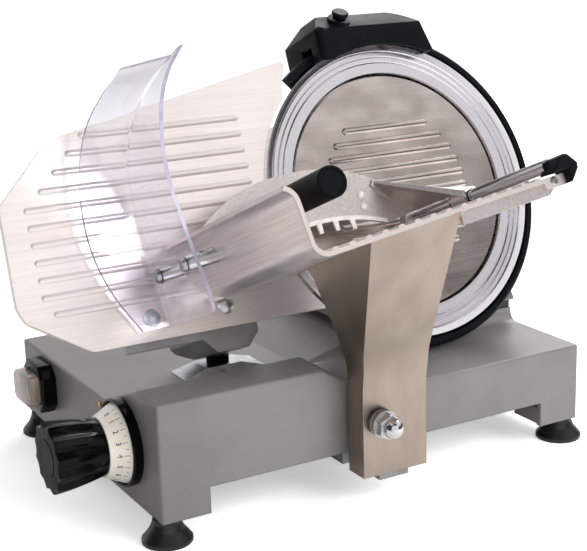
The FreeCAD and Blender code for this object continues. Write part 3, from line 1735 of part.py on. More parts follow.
def pusher_rivets():
    shapes = []
    for f, w in rivet_places():
        shank = cylinder((f, w, pusher_n - 0.5), up, 2, pusher_sheet + 1)
        dome = Part.makeSphere(5, Vector(f, w, pusher_n + pusher_sheet - 3.2))
        above = cylinder((f, w, pusher_n + pusher_sheet), up, 6, 4)
        shapes.append(shank.fuse(dome.common(above)))
    return Part.Compound(shapes)


def pusher_comb():
    # Bright strip along the plate's lower edge with square teeth that hold the food.
    low = pusher_n + pusher_sheet
    arch = Part.Arc(Vector(-160, -15, low), Vector(-100, -9.5, low), Vector(-46, -24.6, low)).toShape().Curve
    strip = outline(Vector(-46, -24.6, low), [
        (Vector(-46, -21, low),),
        (Vector(-100, -6, low), Vector(-160, -11, low)),
        (Vector(-160, -15, low),),
        (Vector(-100, -9.5, low), Vector(-46, -24.6, low)),
    ]).extrude(Vector(0, 0, pusher_sheet))
    teeth = []
    for i in range(comb_teeth):
        f = comb_start + i * comb_pitch
        w = arch.Center.y + math.sqrt(arch.Radius ** 2 - (f - arch.Center.x) ** 2) + 1.8
        half = comb_tooth / 2
        tip = w - comb_height
        teeth.append(along_z([
            (f - half, w), (f + half, w), (f + half - 0.8, tip), (f - half + 0.8, tip),
        ], low, low + pusher_sheet))
    return strip.fuse(teeth).removeSplitter()


def pusher_arm():
    # Folded sheet that tapers from the plate's right edge to the sleeve on the rod, which it wraps.
    start = pusher_n + pusher_sheet
    end = collar_start + collar_length
    fold = [(-47, 12), (-30, 1), (-16, -21), (-17.7, -22.1), (-31.6, -0.6), (-48.1, 10.3)]
    seat = pusher_rod_radius + pusher_bush_wall + pusher_collar_wall
    wrap = []
    for radius, angles in ((seat, (170, 130, 90)), (seat - 1.2, (90, 130, 170))):
        for angle in angles:
            turn = math.radians(angle)
            wrap.append((pusher_rod_f + radius * math.cos(turn), pusher_rod_w + radius * math.sin(turn)))
    sections = []
    for points, n in ((fold, start), (wrap, end)):
        corners = [Vector(f, w, n) for f, w in points]
        sections.append(Part.makePolygon(corners + corners[:1]))
    sheet = Part.makeLoft(sections, True, True)
    foot_plate = along_z([(-16, -21), (-30, 1), (-47, 12), (-50, 8), (-26, -20)], start, start + 2)
    rod_foot = (pusher_rod_f, pusher_rod_w, 0)
    bore = cylinder(rod_foot, up, seat - pusher_collar_wall + running_gap, 300)
    flange_room = cylinder(rod_foot, up, seat + body_gap, collar_start)
    return sheet.fuse([foot_plate, pusher_collar()]).cut([bore, flange_room]).removeSplitter()


def handle():
    start = pusher_n + pusher_sheet
    grip = cylinder((handle_f, handle_w, start), up, handle_radius, handle_end - start - 6)
    bore = cylinder((handle_f, handle_w, handle_end - 12), up, handle_radius - 3, 10)
    return grip.cut(bore)


def handle_cap():
    start = handle_end - 6
    profile = [
        (0, start - 5), (handle_radius - 3 - press_gap, start - 5), (handle_radius - 3 - press_gap, start),
        (handle_radius, start), (handle_radius, handle_end - 1), (handle_radius - 1, handle_end),
        (handle_radius - 2.5, handle_end), (handle_radius - 3, handle_end - 0.8), (0, handle_end - 0.8),
    ]
    return turned(profile).translated(Vector(handle_f, handle_w, 0))


# Clear hand guard, in the tray frame

def curve_through(points):
    curve = Part.BSplineCurve()
    curve.interpolate([Vector(*p) for p in points])
    return curve.toShape()


def guard_crease():
    f = guard_f
    return [
        (f, -46, 2.4), (f, 0, 2.4), (f, 30, 3), (f, 53, 6), (f, 76, 19), (f, 96, 45), (f, 110, 80),
        (f, 118, 120),
    ]


def hand_guard():
    # Crescent web beside the tray's wall, and the broad strip bent off along its crease.
    f = guard_f
    crease = curve_through(guard_crease())
    rim = curve_through([(f, 118, 120), (f, 121, 150), (f, 122, 169)])
    operator = curve_through([
        (f, 122, 169), (f, 113.7, 138), (f, 100, 114), (f, 83, 98.5), (f, 66, 88), (f, 44, 82.5), (f, 22, 82),
        (f, -5, 82.5), (f, -40, 84),
    ])
    corner = Part.Arc(Vector(f, -40, 84), Vector(f, -45.8, 81.5), Vector(f, -48, 76)).toShape()
    bottom = Part.LineSegment(Vector(f, -48, 76), Vector(f, -46, 2.4)).toShape()
    web = Part.Face(Part.Wire([crease, rim, operator, corner, bottom])).extrude(Vector(-guard_sheet, 0, 0))
    outer = curve_through([
        (-262.5, -43, 2.4), (-276, -8, 3), (-281, 20, 5), (-280, 52, 9), (-271, 86, 15), (-259, 112, 28),
        (-250, 127, 56), (-244, 133, 100),
    ])
    inner = curve_through([(f - guard_fold, w - guard_fold, n + guard_fold) for _, w, n in guard_crease()])
    strip = Part.makeRuledSurface(inner, outer).extrude(Vector(0, -1.8, 2.2))
    bolts = [
        cylinder((f - 10, guard_bolt_w, n), across, guard_bolt_radius + press_gap, 20)
        for n in (guard_bolt_near, guard_bolt_far)
    ]
    return web.fuse(strip).cut(bolts)


def guard_sleeves():
    inner = guard_bolt_radius + press_gap
    return Part.Compound([
        tube((guard_f, guard_bolt_w, n), across, guard_sleeve_radius, inner, tray_wall_f - guard_f)
        for n in (guard_bolt_near, guard_bolt_far)
    ])


def guard_bolts():
    start = guard_f - guard_sheet
    end = tray_wall_f + tray_sheet + 4
    shapes = []
    for n in (guard_bolt_near, guard_bolt_far):
        shank = cylinder((start, guard_bolt_w, n), across, guard_bolt_radius, end - start)
        head = Part.makeCone(5.5, 4.5, 2.6, Vector(start, guard_bolt_w, n), Vector(-1, 0, 0))
        slot = box((start - 3, guard_bolt_w - 6, n - 0.6), (start - 1.4, guard_bolt_w + 6, n + 0.6))
        nut_start = tray_wall_f + tray_sheet
        nut = cylinder((nut_start, guard_bolt_w, n), across, 4.5, 3)
        shapes.append(shank.fuse([head, nut]).cut(slot))
    return Part.Compound(shapes)


# Everything in its place

def group(*shapes):
    solids = []
    for shape in shapes:
        solids += shape.Solids
    return Part.Compound(solids)


def base_nodes():
    return {
        "base_casting": base_casting(),
        "feet": group(*[foot().translated(Vector(x, y, 0)) for x, y in foot_centres()], foot_studs()),
        "cable_gland": cable_gland(),
        "side_pin": side_pin(),
        "guide_rods": group(carriage_rod(), guide_bar(), gauge_rod()),
        "capacitor": capacitor(),
        "gasket": gasket(),
        "motor_cover": motor_cover(),
        "index_ring": index_ring(),
        "switch_bezel": switch_bezel(),
        "switch_cover": switch_cover(),
        "switch_body": switch_body(),
        "button_on": switch_button(-1),
        "button_off": switch_button(1),
    }


def blade_nodes():
    nodes = {
        "blade": blade(),
        "blade_screws": blade_screws(),
        "blade_pulley": blade_pulley(),
        "blade_shaft": blade_shaft(),
        "blade_cover": blade_cover(),
        "cover_knob": group(cover_knob(), cover_rod()),
        "blade_ring": blade_ring(),
        "blade_housing": blade_housing(),
        "slice_deflector": slice_deflector(),
        "drive_belt": drive_belt(),
        "motor_pulley": motor_pulley(),
        "rotor": group(rotor(), motor_shaft()),
        "motor_can": group(motor_can(), stator()),
        "sharpener_housing": group(sharpener_housing(), sharpener_post()),
        "grinding_stone": group(grinding_stone(), grinding_button()),
        "deburring_stone": group(deburring_stone(), deburring_knob()),
        "gauge_plate": gauge_plate(),
        "gauge_screws": gauge_screws(),
    }
    nodes = {name: placed(shape, blade_frame) for name, shape in nodes.items()}
    blade_bearings = placed(group(front_bearing(), rear_bearing(), motor_bearings()), blade_frame)
    nodes["bearings"] = group(blade_bearings, spindle_bush())
    return nodes


def gauge_nodes():
    return {
        "gauge_bracket": gauge_bracket(),
        "gauge_stud": group(gauge_stud(), follower_pin()),
        "collar_nut": collar_nut(),
        "dust_cover": dust_cover(),
        "gauge_slide": gauge_slide(),
        "dial_ring": dial_ring(),
        "thickness_knob": knob(),
        "knob_cap": knob_cap(),
        "dial_spindle": spindle(),
        "spiral_cam": spiral_cam(),
    }


def carriage_nodes():
    nodes = {
        "tray": tray(),
        "carriage_screws": group(tray_screw(), guard_bolts()),
        "rod_end_block": rod_end_block(),
        "pusher_rod": pusher_rod(),
        "hand_guard": hand_guard(),
        "guard_sleeves": guard_sleeves(),
        "pusher_bush": pusher_bush(),
        "pusher_arm": pusher_arm(),
        "pusher_plate": pusher_plate(),
        "pusher_comb": group(pusher_comb(), pusher_rivets()),
        "pusher_handle": group(handle(), handle_cap()),
    }
    nodes = {name: placed(shape, tray_frame) for name, shape in nodes.items()}
    nodes.update({
        "carriage_arm": carriage_arm(),
        "carriage_stem": carriage_stem(),
        "acorn_nut": acorn_nut(),
        "arm_stud": group(arm_stud(), arm_washers()),
        "slider_block": slider_block(),
        "slider_bushes": group(slider_bushes(), guide_shoe()),
    })
    return nodes


def assemble():
    # Every node in the working frame.
    nodes = {}
    for section in (base_nodes(), blade_nodes(), gauge_nodes(), carriage_nodes()):
        nodes.update(section)
    return nodes


def rest_point(nodes):
    # Middle of the whole machine's bounding box, on the surface it stands on.
    bounds = FreeCAD.BoundBox()
    for shape in nodes.values():
        bounds.add(shape.optimalBoundingBox(False, False))
    return Vector(bounds.Center.x, bounds.Center.y, bounds.ZMin)


def export(nodes, origin):
    os.makedirs("parts", exist_ok=True)
    for name, shape in nodes.items():
        shape.translated(-origin).exportStep("parts/" + name + ".step")


if __name__ == "__main__":
    all_nodes = assemble()
    rest = rest_point(all_nodes)
    export(all_nodes, rest)
    print("nodes", len(all_nodes), "origin", rest)
    for node_name, node_shape in all_nodes.items():
        print(node_name, node_shape.isValid(), len(node_shape.Solids), round(node_shape.Volume))
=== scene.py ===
import json
import math
import bpy
import bmesh
from mathutils import Matrix, Quaternion, Vector


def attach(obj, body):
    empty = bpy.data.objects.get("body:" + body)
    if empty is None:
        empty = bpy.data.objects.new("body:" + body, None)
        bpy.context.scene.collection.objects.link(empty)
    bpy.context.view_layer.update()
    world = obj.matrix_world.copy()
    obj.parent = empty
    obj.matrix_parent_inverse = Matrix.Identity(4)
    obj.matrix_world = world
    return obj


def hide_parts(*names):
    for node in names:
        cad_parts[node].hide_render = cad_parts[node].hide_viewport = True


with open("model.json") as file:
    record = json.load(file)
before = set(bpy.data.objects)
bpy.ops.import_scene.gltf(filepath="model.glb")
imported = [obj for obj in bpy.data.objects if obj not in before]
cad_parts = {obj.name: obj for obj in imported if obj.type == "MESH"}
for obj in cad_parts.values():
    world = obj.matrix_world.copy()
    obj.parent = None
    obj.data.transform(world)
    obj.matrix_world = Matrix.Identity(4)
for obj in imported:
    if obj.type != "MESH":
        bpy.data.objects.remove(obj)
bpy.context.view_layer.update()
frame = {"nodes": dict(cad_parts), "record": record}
scene = bpy.context.scene
nodes = frame["nodes"]
bodyOf = {node: body for body, held in frame["record"]["behaviour"]["bodies"].items() for node in held}
slotOf = {part["node"]: part["material_slot"] for part in frame["record"]["subparts"]}
mm = 0.001
print("frame loaded:", len(nodes), "nodes")

# The blade's own frame: x to the right, y up the blade, z out of its face towards the operator
bladeCentre = Vector((0.1045, 0.0053, 0.2137))
bladeTilt = math.radians(67.5)
bladeFrame = {"Location": bladeCentre, "Rotation": (bladeTilt, 0, 0)}
trayTurn = math.radians(7.8)  # the tray is turned about the blade's axis
dialCentre = Vector((-0.1716, -0.0344, 0.0635))
ringsAtScaleOne = 2 * math.pi / 20  # metres between the rings of a Wave texture whose scale is 1


# Small tools for node trees

def hexLinear(code):
    # sRGB hex to the linear colour that a shader socket takes
    channels = [int(code[i:i + 2], 16) / 255 for i in (1, 3, 5)]
    return [c / 12.92 if c <= 0.04045 else ((c + 0.055) / 1.055) ** 2.4 for c in channels] + [1.0]


def addNode(tree, kind, links=None, **settings):
    node = tree.nodes.new(kind)
    for name, value in settings.items():
        setattr(node, name, value)
    for socket, value in (links or {}).items():
        if isinstance(value, bpy.types.NodeSocket):
            tree.links.new(value, node.inputs[socket])
        else:
            node.inputs[socket].default_value = value
    return node


# Finishes, and the pieces that have them. "edge" is the radius in mm at which corners catch the light, and
# "look" holds values for the shader. Each pattern has the "size" of its grains in mm. It may lie in the
# blade's own frame and be stretched along the grain. "tones" drift the colour over a "span" of the pattern,
# "polish" drifts the roughness where hands and cloths have rubbed, and "lift" raises the surface by a depth
# in mm, at a strength.

def moulded(dark, light, roughness, pieces):
    # Plain moulded plastic or rubber: nearly even colour, dull or satin, with a trace of flow
    return {
        "colour": light, "edge": 0.6, "look": {"Metallic": 0.0, "Roughness": roughness, "IOR": 1.5},
        "patterns": [
            {"size": 14, "tones": (dark, light)},
            {"size": 9, "polish": (roughness - 0.05, roughness + 0.06)},
            {"size": 0.8, "detail": 2.0, "lift": (0.02, 0.25)},  # 0.2 mm grain, drawn coarser to show
        ],
        "pieces": pieces,
    }


def anodisedSheet(pieces):
    # Bent aluminium sheet, satin anodised: soft grey with a warm tone, rolled along its length
    return {
        "colour": "#E0D7D4", "edge": 0.6, "look": {"Metallic": 0.9, "Roughness": 0.34},
        "patterns": [
            # Rolling marks of 0.2 mm, drawn coarser to show
            {"size": 1.8, "onBlade": True, "stretch": (1, 1, 0.03), "tones": ("#D8CECB", "#E9E1DE"),
             "span": (0.3, 0.7), "lift": (0.006, 0.2)},
            {"size": 30, "polish": (0.3, 0.42)},
        ],
        "pieces": pieces,
    }


finishes = {
    # Cast aluminium with baked silver-grey paint: a fine orange peel and a satin, slightly metallic sheen
    "Painted_Cast_Aluminium": {
        "colour": "#7A7977", "edge": 1.6, "look": {"Metallic": 0.2, "Roughness": 0.4},
        "patterns": [
            {"size": 60, "tones": ("#767573", "#7F7E7C"), "polish": (0.37, 0.46)},
            {"size": 1.4, "detail": 2.0, "lift": (0.08, 0.5)},  # peel of 0.7 mm, drawn coarser to show
        ],
        "pieces": ["base_casting", "motor_cover"],
    },
    # Bead-blasted aluminium casting: dull, evenly pitted, scatters light softly
    "Blasted_Cast_Aluminium": {
        "colour": "#9C9B9D", "edge": 0.8, "look": {"Metallic": 1.0, "Roughness": 0.5},
        "patterns": [
            {"size": 25, "tones": ("#949395", "#A4A3A5")},
            # Pits of 0.3 mm beads, drawn coarser to show
            {"size": 1.2, "detail": 4.0, "rough": 0.7, "lift": (0.05, 0.35)},
        ],
        "pieces": ["blade_housing", "gauge_bracket", "carriage_stem", "slider_block", "gauge_slide",
                   "motor_can", "blade_pulley"],
    },
    # Extruded plate, etched and clear anodised: nearly white and silky, with faint drawing lines
    "Anodised_Aluminium_Plate": {
        "colour": "#E8DEDB", "edge": 0.8, "look": {"Metallic": 0.6, "Roughness": 0.34},
        "patterns": [
            # Die lines of 0.2 mm, drawn coarser to show
            {"size": 1.8, "onBlade": True, "stretch": (0.02, 1, 1), "tones": ("#E4DAD7", "#ECE3E0"),
             "span": (0.3, 0.7), "lift": (0.01, 0.3)},
            {"size": 45, "polish": (0.3, 0.4)},
        ],
        "pieces": ["gauge_plate"],
    },
    "Satin_Anodised_Sheet": anodisedSheet(["pusher_plate", "pusher_arm", "slice_deflector"]),
    "Satin_Anodised_Tray": anodisedSheet(["tray"]),
    # Stainless sheet brushed up and down with a fine belt: warm, with faint upright hairs and cloudy patches
    "Brushed_Stainless_Sheet": {
        "colour": "#A6978B", "edge": 0.5, "look": {"Metallic": 1.0, "Roughness": 0.34},
        "patterns": [
            # Belt scratches of 0.1 mm, drawn coarser to show
            {"size": 1.8, "detail": 2.0, "stretch": (1, 0, 0.012), "polish": (0.3, 0.38),
             "lift": (0.006, 0.15)},
            {"size": 24, "rough": 0.5, "stretch": (1, 1, 0.4), "tones": ("#A09185", "#AC9E92"),
             "span": (0.3, 0.7)},
        ],
        "pieces": ["carriage_arm"],
    },
    # Pressed aluminium disc brushed from side to side, with the cloudy patches that wiping leaves
    "Brushed_Aluminium_Cover": {
        "colour": "#C6BBB7", "edge": 0.4, "look": {"Metallic": 1.0, "Roughness": 0.3},
        "patterns": [
            # Scratches of 0.1 mm, drawn coarser to show
            {"size": 1.8, "detail": 2.0, "onBlade": True, "stretch": (0.015, 1, 1), "polish": (0.25, 0.31),
             "lift": (0.004, 0.1)},
            {"size": 26, "detail": 2.0, "rough": 0.5, "onBlade": True, "stretch": (0.6, 1, 1),
             "tones": ("#B4A9A5", "#D3C8C4"), "span": (0.3, 0.7)},
        ],
        "pieces": ["blade_cover"],
    },
    # Hard-chromed blade, ground on a turntable: bright, with fine rings about its centre
    "Ground_Blade_Steel": {
        "colour": "#EAE6EC", "edge": 0.3, "look": {"Metallic": 1.0, "Roughness": 0.24},
        "patterns": [
            # Wheel marks of 0.1 mm, drawn 10 mm apart to show
            {"size": 10.053, "rings": True, "distortion": 1.2, "onBlade": True,
             "tones": ("#E4E0E6", "#F0EDF3"), "span": (0.2, 0.8), "polish": (0.2, 0.29),
             "lift": (0.004, 0.2)},
        ],
        "pieces": ["blade"],
    },
    # Turned and polished steel: mirror bright, with patches that handling has dulled a little
    "Polished_Turned_Steel": {
        "colour": "#D0D0D2", "edge": 0.3, "look": {"Metallic": 1.0, "Roughness": 0.16},
        "patterns": [{"size": 1.5, "polish": (0.12, 0.22)}],
        "pieces": ["pusher_rod", "guide_rods", "acorn_nut", "guard_sleeves", "dial_spindle", "blade_shaft"],
    },
    # Bright zinc on pressed or turned steel: pale, slightly cloudy
    "Zinc_Plated_Steel": {
        "colour": "#BDBDBF", "edge": 0.3, "look": {"Metallic": 1.0, "Roughness": 0.32},
        "patterns": [{"size": 6, "tones": ("#B1B1B4", "#C8C8CA"), "polish": (0.27, 0.4)}],
        "pieces": ["arm_stud", "carriage_screws", "blade_screws", "gauge_screws", "gauge_stud", "bearings",
                   "rotor", "motor_pulley", "capacitor", "dust_cover"],
    },
    # Turned brass: warm yellow and bright
    "Turned_Brass": {
        "colour": "#C79A55", "edge": 0.3, "look": {"Metallic": 1.0, "Roughness": 0.25},
        "patterns": [{"size": 1.0, "polish": (0.2, 0.35)}],
        "pieces": ["side_pin"],
    },
    # Moulded ABS with spark-eroded grain: deep black with a soft, broad sheen
    "Satin_Black_ABS": {
        "colour": "#0F1012", "edge": 1.0,
        "look": {"Metallic": 0.0, "Roughness": 0.44, "IOR": 1.54, "Specular IOR Level": 0.06},
        "patterns": [
            {"size": 30, "tones": ("#0D0E10", "#121315")},
            {"size": 18, "polish": (0.4, 0.5)},
            {"size": 0.9, "detail": 2.0, "lift": (0.03, 0.35)},  # tool grain of 0.2 mm, drawn coarser to show
        ],
        "pieces": ["sharpener_housing", "blade_ring", "rod_end_block", "cover_knob", "cable_gland",
                   "collar_nut", "switch_body", "spiral_cam", "pusher_handle", "knob_cap"],
    },
    # Polished black phenolic or ABS: sharp highlights on rounded edges
    "Gloss_Black_Phenolic": {
        "colour": "#060607", "edge": 0.8,
        "look": {"Metallic": 0.0, "Roughness": 0.14, "IOR": 1.58, "Specular IOR Level": 0.1},
        "patterns": [{"size": 12, "polish": (0.1, 0.18)}, {"size": 5.0, "lift": (0.02, 0.2)}],
        "pieces": ["thickness_knob", "index_ring", "switch_bezel", "button_off"],
    },
    # Bent polycarbonate sheet: clear, with slightly wavy reflections
    "Clear_Polycarbonate": {
        "colour": "#F6F5FC", "edge": 0.3,
        "look": {"Metallic": 0.0, "Roughness": 0.03, "IOR": 1.5, "Transmission Weight": 1.0},
        "patterns": [
            {"size": 35, "detail": 1.0, "lift": (0.15, 0.15)},
            {"size": 20, "polish": (0.015, 0.06)},
        ],
        "pieces": ["hand_guard", "pusher_bush"],
    },
    # The scraped edge of the same sheet: it gathers light, so it looks milky and pale violet
    "Scraped_Polycarbonate_Edge": {
        "colour": "#D8CFE8", "edge": 0.6,
        "look": {"Metallic": 0.0, "Roughness": 0.3, "IOR": 1.5, "Transmission Weight": 0.3},
        "patterns": [
            {"size": 12, "tones": ("#D0C6E2", "#E2DAF0")},
            {"size": 1.0, "lift": (0.02, 0.3)},  # scraper marks, drawn coarser to show
        ],
        "pieces": [],
    },
    # Dipped clear PVC boot: smoky, a little warm and wavy
    "Clear_Soft_PVC": {
        "colour": "#D9CFC9", "edge": 0.8,
        "look": {"Metallic": 0.0, "Roughness": 0.12, "IOR": 1.5, "Transmission Weight": 0.9},
        "patterns": [{"size": 9, "detail": 1.0, "lift": (0.2, 0.3)}, {"size": 7, "polish": (0.08, 0.18)}],
        "pieces": ["switch_cover"],
    },
    # Tumbled stainless teeth and rivet heads: bright and nearly white
    "Tumbled_Stainless": {
        "colour": "#F3ECE9", "edge": 0.5, "look": {"Metallic": 0.5, "Roughness": 0.4},
        "patterns": [{"size": 4, "tones": ("#ECE4E1", "#F8F2F0")}, {"size": 0.8, "lift": (0.02, 0.3)}],
        "pieces": ["pusher_comb"],
    },
    # Screen-printed black ink: matt and slightly broken
    "Printed_Black_Ink": {
        "colour": "#2A2324", "edge": 0.05, "look": {"Metallic": 0.0, "Roughness": 0.55},
        "patterns": [{"size": 0.6, "tones": ("#241E1F", "#3A3233")}],
        "pieces": [],
    },
    # Vitrified abrasive on a black ABS button: the stone is brownish grey, coarse and dull
    "Vitrified_Abrasive": {
        "colour": "#8E807A", "edge": 0.3,
        "look": {"Metallic": 0.0, "Roughness": 0.9, "Specular IOR Level": 0.08},
        "patterns": [
            {"size": 0.6, "detail": 4.0, "rough": 0.8, "tones": ("#4A433F", "#7A6F69"), "lift": (0.15, 0.8)},
        ],
        "pieces": ["grinding_stone", "deburring_stone"],
    },
    # Acetal: creamy white and silky
    "White_Acetal": moulded("#EFE6DA", "#F7F1E8", 0.38, ["dial_ring"]),
    # ABS: a greyer white, a little shinier
    "White_Moulded_ABS": moulded("#E9E4DC", "#F2EEE8", 0.32, ["button_on"]),
    # Rubber: nearly black, with a soft sheen
    "Black_Rubber": moulded("#0E0E0F", "#151516", 0.38, ["feet", "gasket", "drive_belt"]),
    # Undyed nylon: waxy ivory
    "Natural_Nylon": moulded("#D9D3C2", "#E6E1D2", 0.45, ["slider_bushes"]),
}


# What a pattern has where it gives no value of its own, and the part of it over which the polish drifts
plainPattern = {"detail": 3.0, "rough": 0.55, "span": (0.35, 0.65)}
rubbed = (0.3, 0.7)


def drawPattern(tree, place, pattern):
    if "onBlade" in pattern:
        place = addNode(tree, "ShaderNodeMapping", {"Vector": place, **bladeFrame},
                        vector_type="TEXTURE").outputs[0]
    if "stretch" in pattern:
        place = addNode(tree, "ShaderNodeMapping", {"Vector": place, "Scale": pattern["stretch"]}).outputs[0]
    size = pattern["size"] * mm
    if "rings" in pattern:
        return addNode(tree, "ShaderNodeTexWave", {
            "Vector": place, "Scale": ringsAtScaleOne / size, "Distortion": pattern["distortion"],
            "Detail": pattern["detail"],
        }, wave_type="RINGS", rings_direction="Z").outputs["Fac"]
    return addNode(tree, "ShaderNodeTexNoise", {
        "Vector": place, "Scale": 1 / size, "Detail": pattern["detail"], "Roughness": pattern["rough"],
    }).outputs["Fac"]


def newFinish(name, given):
    material = bpy.data.materials.new(name)
    material.use_nodes = True
    tree = material.node_tree
    inputs = tree.nodes["Principled BSDF"].inputs
    inputs["Base Color"].default_value = hexLinear(given["colour"])
    for socket, value in given["look"].items():
        inputs[socket].default_value = value
    place = addNode(tree, "ShaderNodeTexCoord").outputs["Object"]
    # Rounded edges catch a thin line of light, as broken corners do
    rounded = addNode(tree, "ShaderNodeBevel", {"Radius": given["edge"] * mm}, samples=4).outputs[0]
    tree.links.new(rounded, inputs["Normal"])
    for pattern in given["patterns"]:
        pattern = {**plainPattern, **pattern}
        drawn = drawPattern(tree, place, pattern)
        if "tones" in pattern:
            low, high = pattern["span"]
            dark, light = [hexLinear(tone) for tone in pattern["tones"]]
            step = addNode(tree, "ShaderNodeMapRange", {"Value": drawn, "From Min": low, "From Max": high},
                           interpolation_type="SMOOTHSTEP").outputs[0]
            mix = addNode(tree, "ShaderNodeMix", {0: step, 6: dark, 7: light}, data_type="RGBA").outputs[2]
            tree.links.new(mix, inputs["Base Color"])
        if "polish" in pattern:
            smooth, rough = pattern["polish"]
            step = addNode(tree, "ShaderNodeMapRange", {
                "Value": drawn, "From Min": rubbed[0], "From Max": rubbed[1],
                "To Min": smooth, "To Max": rough,
            }).outputs[0]
            tree.links.new(step, inputs["Roughness"])
        if "lift" in pattern:
            depth, strength = pattern["lift"]
            bump = addNode(tree, "ShaderNodeBump", {
                "Height": drawn, "Distance": depth * mm, "Strength": strength, "Normal": rounded,
            }).outputs[0]
            tree.links.new(bump, inputs["Normal"])
    return material


def refinish(material, mask, colour, socket, masked):
    # Where the mask is 1, the finish takes another colour, and another value on one socket
    tree = material.node_tree
    inputs = tree.nodes["Principled BSDF"].inputs
    drawn = inputs["Base Color"].links[0].from_socket
    mix = addNode(tree, "ShaderNodeMix", {0: mask, 6: drawn, 7: hexLinear(colour)},
                  data_type="RGBA").outputs[2]
    tree.links.new(mix, inputs["Base Color"])
    step = addNode(tree, "ShaderNodeMapRange", {
        "Value": mask, "To Min": inputs[socket].default_value, "To Max": masked,
    }).outputs[0]
    tree.links.new(step, inputs[socket])


# The tray's sawn and deburred edge towards the operator, down to the flange below its floor, is paler and
# less metallic: partly its bare sawn metal, partly a painted highlight that keeps it bright.
# Places are in the tray's frame, in mm from the blade's centre: out of its face, and up it
trayEdgeAndHighlight = {"from": 198.5, "flangeTop": -44.5, "colour": "#D2C6C2", "metallic": 0.6}


def brightTrayEdge(material):
    tree = material.node_tree
    place = tree.nodes["Texture Coordinate"].outputs["Object"]
    local = addNode(tree, "ShaderNodeMapping", {"Vector": place, **bladeFrame},
                    vector_type="TEXTURE").outputs[0]
    depth = addNode(tree, "ShaderNodeSeparateXYZ", {0: local}).outputs["Z"]
    upright = (-math.sin(trayTurn), math.cos(trayTurn), 0)
    height = addNode(tree, "ShaderNodeVectorMath", {0: local, 1: upright},
                     operation="DOT_PRODUCT").outputs["Value"]
    near = addNode(tree, "ShaderNodeMath", {0: depth, 1: trayEdgeAndHighlight["from"] * mm},
                   operation="GREATER_THAN").outputs[0]
    above = addNode(tree, "ShaderNodeMath", {0: height, 1: trayEdgeAndHighlight["flangeTop"] * mm},
                    operation="GREATER_THAN").outputs[0]
    edge = addNode(tree, "ShaderNodeMath", {0: near, 1: above}, operation="MULTIPLY").outputs[0]
    # The paler, less metallic edge is partly bare sawn metal and partly a painted highlight
    refinish(material, edge, trayEdgeAndHighlight["colour"], "Metallic", trayEdgeAndHighlight["metallic"])


# The stones end and their black buttons begin above one height and behind one depth, in mm
stoneButtons = {"above": 345, "behind": 85, "colour": "#101113", "roughness": 0.36}


def blackStoneButtons(material):
    tree = material.node_tree
    axes = addNode(tree, "ShaderNodeSeparateXYZ", {
        0: tree.nodes["Texture Coordinate"].outputs["Object"],
    }).outputs
    above = addNode(tree, "ShaderNodeMath", {0: axes["Z"], 1: stoneButtons["above"] * mm},
                    operation="GREATER_THAN").outputs[0]
    behind = addNode(tree, "ShaderNodeMath", {0: axes["Y"], 1: stoneButtons["behind"] * mm},
                     operation="GREATER_THAN").outputs[0]
    button = addNode(tree, "ShaderNodeMath", {0: above, 1: behind}, operation="MAXIMUM").outputs[0]
    refinish(material, button, stoneButtons["colour"], "Roughness", stoneButtons["roughness"])


made = {name: newFinish(name, given) for name, given in finishes.items()}
# Paints a highlight on the tray's sawn edge, besides giving it its bare metal
brightTrayEdge(made["Satin_Anodised_Tray"])
blackStoneButtons(made["Vitrified_Abrasive"])
for name, given in finishes.items():
    for piece in given["pieces"]:
        nodes[piece].data.materials.clear()
        nodes[piece].data.materials.append(made[name])
print("finishes given to", sum(len(given["pieces"]) for given in finishes.values()), "nodes")


# Tools for pieces made here

smoothBelow = math.radians(40)  # edges that bend less than this are shaded smooth


def newPiece(name, mesh, material, body, slot, *replaced):
    piece = bpy.data.objects.new(name, mesh)
    scene.collection.objects.link(piece)
    if material:
        mesh.materials.clear()
        mesh.materials.append(material)
    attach(piece, body)
    if replaced:
        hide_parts(*replaced)
    return piece


def plainMesh(source, name):
    # The evaluated shape of an object with modifiers, as a mesh of its own
    seen = source.evaluated_get(bpy.context.evaluated_depsgraph_get())
    mesh = bpy.data.meshes.new_from_object(seen)
    mesh.name = name
    bpy.data.objects.remove(source)
    return mesh


# The thickness dial: a cone with printed numbers and ticks, and a fluted knob in front of it

dialSizes = {
    "rearRadius": 30.9, "frontRadius": 22.8, "rear": 5.0, "front": 21.4,  # the cone, measured out of the base
    "firstAngle": 9.5, "pitch": 20.0, "numbers": 17,                        # 0 to 16 round most of a turn
    "digitHeight": 3.5, "digitFoot": 16.8, "digitBold": 0.1, "digitSteps": 4,
    "longTick": (8.6, 3.9), "shortTick": (8.9, 2.1),                        # a tick's start and length
    "tickWidth": 0.45, "tickDepth": 0.08, "inkLift": 0.05,
}
digitShare = 0.69  # a digit's height as a share of the font's size
coneSlope = (dialSizes["rearRadius"] - dialSizes["frontRadius"]) / (dialSizes["front"] - dialSizes["rear"])
coneLean = math.atan(coneSlope)


def coneRadius(out):
    return dialSizes["rearRadius"] - coneSlope * (out - dialSizes["rear"])


def onCone(out, angle, lift):
    # A point on the dial's cone: out of the base in mm, round from the top to the front, lifted off in mm
    radius = coneRadius(out) + lift * math.cos(coneLean)
    left = out + lift * math.sin(coneLean)
    return dialCentre + Vector((-left, -radius * math.sin(angle), radius * math.cos(angle))) * mm


